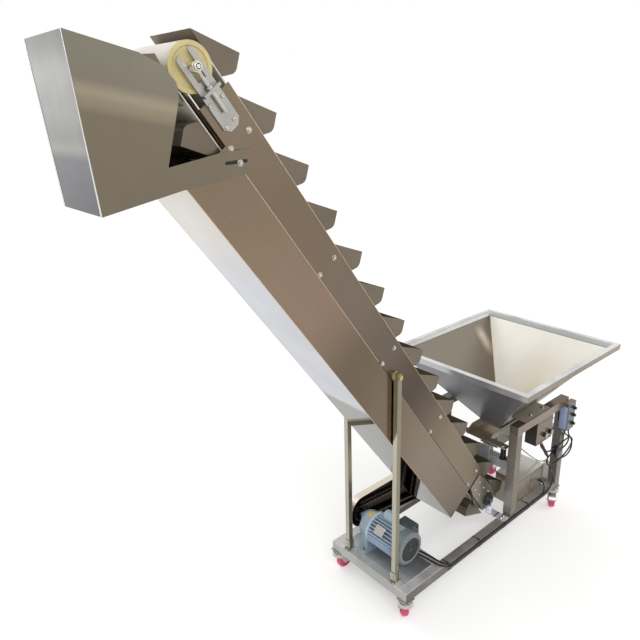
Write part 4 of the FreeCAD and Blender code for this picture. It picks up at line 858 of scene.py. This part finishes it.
for s in NEAR_FAR:
    for x in (-700, -740):
        welds.bar(deck(x, s * 170.5, -9.8), deck(x, s * RAIL_OUT, -9.8), 1.6, 1.2, Z, 0.3)
    welds.bar(deck(-699.8, s * 170.5, BEAM_LOW), deck(-699.8, s * RAIL_OUT, BEAM_LOW), 1.4, 0.8, Z, 0.2)
    for x in (-700.5, -1084.5):
        welds.bar(deck(x, s * 210.1, BEAM_LOW), deck(x - 39, s * 210.1, BEAM_LOW), 1.2, 0.6, Z, 0.2)
welds.done("weld_highlight_lines", "bright")

CASTER_X, CASTER_Y = {"front": -20, "rear": -1104}, 190
PLATE_BOLT = 17                     # bolts of a caster's plate, from its middle
feet = Form()
low, high = corners("post_feet")
for s in NEAR_FAR:
    y = s * (SIDE_OUT + 15)
    feet.hexagon(mm(high.x - 10, y, DECK + 24), X, 10, 6, Z, 16)
    feet.hexagon(mm(low.x + 10, y, DECK + 24), -X, 10, 6, Z, 16)
    feet.hexagon(mm(high.x - 5, y - s * 8, DECK + 3), Z, 7, 5, X)
    feet.hexagon(mm(high.x - 5, y + s * 8, DECK + 3), Z, 7, 5, X)
    for x in CASTER_X.values():
        for dx in (-PLATE_BOLT, PLATE_BOLT):
            for dy in (-PLATE_BOLT, PLATE_BOLT):
                feet.hexagon(deck(x + dx, s * CASTER_Y + dy, -44), -Z, 8, 5, X, 13)
feet.done("foot_bolts", "bolt")

# motor: label, plate, grille and bolts
RIVET = [(0, 0), (1.8, 0), (1.2, 0.9), (0, 1.1)]
label = Form().bent_sheet(mm(OUTPUT.x, 0, OUTPUT.z), X, Y, (-85, -53), (40.2, 40.6), (56, 124))
label.done("gearbox_label", "label")
plate = Form().bent_sheet(mm(MOTOR.x, 0, MOTOR.z), X, Y, (-14, 34), (66.2, 67.0), (24, 58))
for t in (27, 55):
    for y in (-11, 31):
        plate.lathe(mm(MOTOR.x, y, MOTOR.z) + spoke(t) * 0.0669, spoke(t), RIVET, 12)
plate.done("bare_plate", "zinc")

fan = mm(MOTOR.x, corners("fan_cover")[1].y - 2, MOTOR.z)
grille = Form()
grille.lathe(fan, Y, [(0, 0.1), (49.4, 0.1), (49.4, 0.4), (0, 0.4)], 48)
grille.done("grille_recess", "grille")
rings = Form()
for r in (13, 22, 31, 40):
    rings.lathe(fan, Y, [
        (r - 1.0, 0.3), (r + 1.0, 0.3), (r + 0.8, 1.5), (r - 0.8, 1.5), (r - 1.0, 0.3)], 48)
for i in range(6):
    c, d = fan + Y * 0.0009, spoke(60 * i + 15)
    rings.bar(c + d * 0.008, c + d * 0.049, 1.2, 2.4, Y, 0.2)
rings.lathe(fan, Y, [(0, 0.3), (8, 0.3), (8, 1.6), (6, 2.0), (0, 2.0)], 24)
rings.done("grille_rings", "dark")

screws = Form()
for x, z in ((-178, 128), (-178, 160), (-147, 160), (-152, 142)):
    screws.lathe(deck(x, 104, z), Y, [
        (0, 0), (5.6, 0), (5.6, 2.6), (4.6, 3.4), (2.6, 3.4), (2.2, 2.0), (0, 2.0)], 18)
screws.done("terminal_screws", "black")
motor_bolts = Form()
for x in (-60, 60):
    motor_bolts.hexagon(mm(MOTOR.x + x, -77, DECK + 10), Z, 12, 8, X, 20)
for t in (20, 70, 160, 200, 340):
    motor_bolts.hexagon(mm(MOTOR.x, -44, MOTOR.z) + spoke(t) * 0.0595, Y, 8, 6, Z)
for i in range(6):
    motor_bolts.hexagon(mm(OUTPUT.x, -116, OUTPUT.z) + spoke(60 * i + 30) * 0.024, -Y, 7, 4, Z)
motor_bolts.done("motor_bolts", "bolt")

# hopper, stand and boxes
HOPPER_X = -885                     # its middle, from the platform's front edge
beads = Form()
for sx in (-1, 1):
    for sy in NEAR_FAR:
        beads.bar(deck(HOPPER_X + sx * 351.5, sy * 321.5, 688), deck(HOPPER_X + sx * 69.0, sy * 55.0, 346),
                  2.6, 2.6, Z, 0.8)
        beads.bar(deck(HOPPER_X + sx * 355.2, sy * 325.2, 713.8),
                  deck(HOPPER_X + sx * 379.4, sy * 349.4, 713.8), 1.2, 0.8, Z, 0.2)
beads.done("hopper_welds", "edge")
lip = Form()
lip.block(deck(-530.2, -322, 681), deck(-528.6, 322, 689.5), 0.4)
lip.done("hopper_front_lip", "bright")
stand = Form()
for s in NEAR_FAR:
    for x in (-930, -834):
        stand.hexagon(deck(x, s * 186, 452), Z, 11, 7, X, 19)
    for x in (-712, -1104):
        stand.hexagon(deck(x, s * 136, 320), Z, 10, 7, X, 18)
for x, z in ((-1142, 306), (-1114, 400)):
    stand.button(rail(x, 28, z), Y, 5, 2)
stand.done("stand_bolts", "bolt")
film = Form()
film.slab([rail(-1079.8, y, z) for y, z in ((-13.4, 296), (22.5, 296), (22.5, 414), (0.5, 414),
                                            (0.5, 404), (-13.4, 404))], X, 0.3, 0.1)
film.done("panel_film", "film")
# a dark strip on the rear leg beside the film: painted shadow
shadow_strip = Form()
shadow_strip.block(rail(-1084.2, -23, 330), rail(-1083.6, -17, 372), 0.1)
shadow_strip.done("leg_shadow_strip", "gap")
clips = Form()
for x in (-868, -904):
    clips.block(rail(x - 4, -40, -10), rail(x + 4, -35, -5), 0.8)
    clips.lathe(rail(x, -37.5, -5), Z, [(0, 0), (2.2, 0), (1.8, 1.6), (0, 2.0)], 14)
clips.done("cabinet_clips", "brass")
seams = Form()
seams.bar(rail(-813, -39.7, 98), rail(-1029, -39.7, 98), 0.7, 0.9, Z, 0.2)
seams.bar(rail(-921, -39.7, 97), rail(-921, -39.7, -9), 0.7, 0.9, X, 0.2)
seams.bar(rail(-863, 0.2, 398), rail(-992, 0.2, 398), 0.7, 0.9, Z, 0.2)
seams.bar(rail(-863, 0.2, 298), rail(-992, 0.2, 298), 0.7, 0.9, Z, 0.2)
seams.done("box_seams", "gap")
glint = Form()
glint.bar(deck(-2.0, -207, 0.25), deck(-2.0, 207, 0.25), 2.6, 0.6, Z, 0.15)
glint.bar(deck(-3, 208.2, 0.25), deck(-238, 208.2, 0.25), 1.6, 0.6, Z, 0.15)
glint.bar(deck(-2, 168.6, 0.2), deck(-238, 168.6, 0.2), 1.2, 0.5, Z, 0.15)
for s in NEAR_FAR:
    glint.bar(deck(-3, s * 205.5, 0.3), deck(-40, s * 169.5, 0.3), 1.4, 0.5, Z, 0.15)
glint.done("edge_glints", "edge_white")
sockets = Form()
for x in (-925, -971):
    sockets.lathe(rail(x, 0, 327), Y, [
        (8.2, 13), (10.4, 13), (10.6, 15.4), (9.4, 16.2), (7.8, 15.6), (8.2, 13)], 24)
    sockets.lathe(rail(x, 0, 327), Y, [(0, 15.0), (3.4, 15.0), (3.0, 16.4), (0, 16.6)], 16)
sockets.done("socket_rings", "bright")

# casters: a bell on each fork, and a wheel guard on the two rear ones
GUARD_W, GUARD_R = (-16.6, 16.6), (38.2, 39.6)
GUARD_ARC = (104, 24)               # degrees above the trailing side
for end, x in CASTER_X.items():
    for side, s in (("near_", 1), ("far_", -1)):
        name = side + end
        fork = BODY["caster_fork_" + name]
        top = corners("caster_fork_" + name)[1].z
        pivot, axle = deck(x, s * CASTER_Y, 0), middle("caster_wheel_" + name) / 1000.0
        bell = Form()
        bell.lathe(Vector((pivot.x, pivot.y, 0)), Z, [
            (27.2, top - 1.0), (29.6, top - 2.6), (31.0, top - 10), (31.2, 75.6), (30.2, 75.6),
            (30.0, top - 10), (28.8, top - 3.4), (27.2, top - 2.2), (27.2, top - 1.0)], 40)
        bell.done("bell_" + name, "bell", fork)
        if end == "rear":
            trail = Vector((axle.x - pivot.x, axle.y - pivot.y, 0)).normalized()
            guard = Form().bent_sheet(axle, trail, Z.cross(trail), GUARD_W, GUARD_R, GUARD_ARC)
            guard.done("wheel_guard_" + name, "zinc", fork)

# floor, light and camera
FLOOR_REACH, FLOOR_GLOW = (1.6, 5.0), (0.36, 0.52)      # metres from the middle, strength
floor_white = bpy.data.materials.new("floor_white")
stage = Tree(floor_white)
stage.nodes.remove(stage.nodes["Principled BSDF"])
diffuse = stage.new("ShaderNodeBsdfDiffuse", Color=(0.82, 0.82, 0.81, 1))
glow = stage.new("ShaderNodeEmission", Color=(1, 1, 1, 1))
place = stage.nodes.new("ShaderNodeTexCoord").outputs["Object"]
level = stage.remap(stage.distance(place), FLOOR_REACH, FLOOR_GLOW)
seen = stage.rays("Is Camera Ray", "Is Glossy Ray")
stage.link(stage.calc("MULTIPLY", seen, level), glow.inputs["Strength"])
add = stage.nodes.new("ShaderNodeAddShader")
stage.link(diffuse.outputs[0], add.inputs[0])
stage.link(glow.outputs[0], add.inputs[1])
stage.link(add.outputs[0], stage.nodes["Material Output"].inputs["Surface"])
bpy.ops.mesh.primitive_plane_add(size=60, location=(0, 0, -0.0005))
floor = bpy.context.object
floor.name = "floor"
floor.data.materials.append(floor_white)

WORLD_LEVEL = (0.62, 1.0)           # on the machine, and as seen behind it
world = bpy.data.worlds.new("studio")
bpy.context.scene.world = world
sky = Tree(world)
background = sky.nodes["Background"]
background.inputs["Color"].default_value = (1, 1, 1, 1)
seen = sky.rays("Is Camera Ray", "Is Glossy Ray", "Is Transmission Ray")
sky.link(sky.remap(seen, (0.0, 1.0), WORLD_LEVEL), background.inputs["Strength"])


def lamp(name, at, target, size, power):
    data = bpy.data.lights.new(name, "AREA")
    data.shape = "RECTANGLE"
    data.size, data.size_y = size
    data.energy = power
    obj = bpy.data.objects.new(name, data)
    bpy.context.scene.collection.objects.link(obj)
    obj.location = at
    obj.rotation_euler = (Vector(target) - Vector(at)).to_track_quat("-Z", "Y").to_euler()


lamp("key", (2.6, 3.4, 4.6), (0, 0, 0.8), (3.0, 2.2), 95)
lamp("fill", (-3.6, 2.4, 3.2), (0, 0, 0.8), (2.5, 2.5), 38)
lamp("back", (0.6, -4.2, 3.4), (0, 0, 1.0), (3.0, 2.0), 45)

# the camera's place, lens and turns were fitted to the photo
CAMERA_AT, LENS = (1.5757, 1.4247, 1.9370), 34.44
azimuth, pitch, roll = math.radians(229.85), math.radians(19.87), math.radians(-1.77)
cam_data = bpy.data.cameras.new("camera")
cam_data.sensor_width = 36.0
cam_data.lens = LENS
camera = bpy.data.objects.new("camera", cam_data)
bpy.context.scene.collection.objects.link(camera)
level_x, level_y = math.cos(azimuth) * math.cos(pitch), math.sin(azimuth) * math.cos(pitch)
ahead = Vector((level_x, level_y, -math.sin(pitch)))
right = ahead.cross(Z).normalized()
above = right.cross(ahead)
across = right * math.cos(roll) + above * math.sin(roll)
upward = above * math.cos(roll) - right * math.sin(roll)
turn = Matrix((across, upward, -ahead)).transposed()
camera.matrix_world = Matrix.Translation(CAMERA_AT) @ turn.to_4x4()
bpy.context.scene.camera = camera
bpy.context.scene.view_settings.view_transform = "Standard"
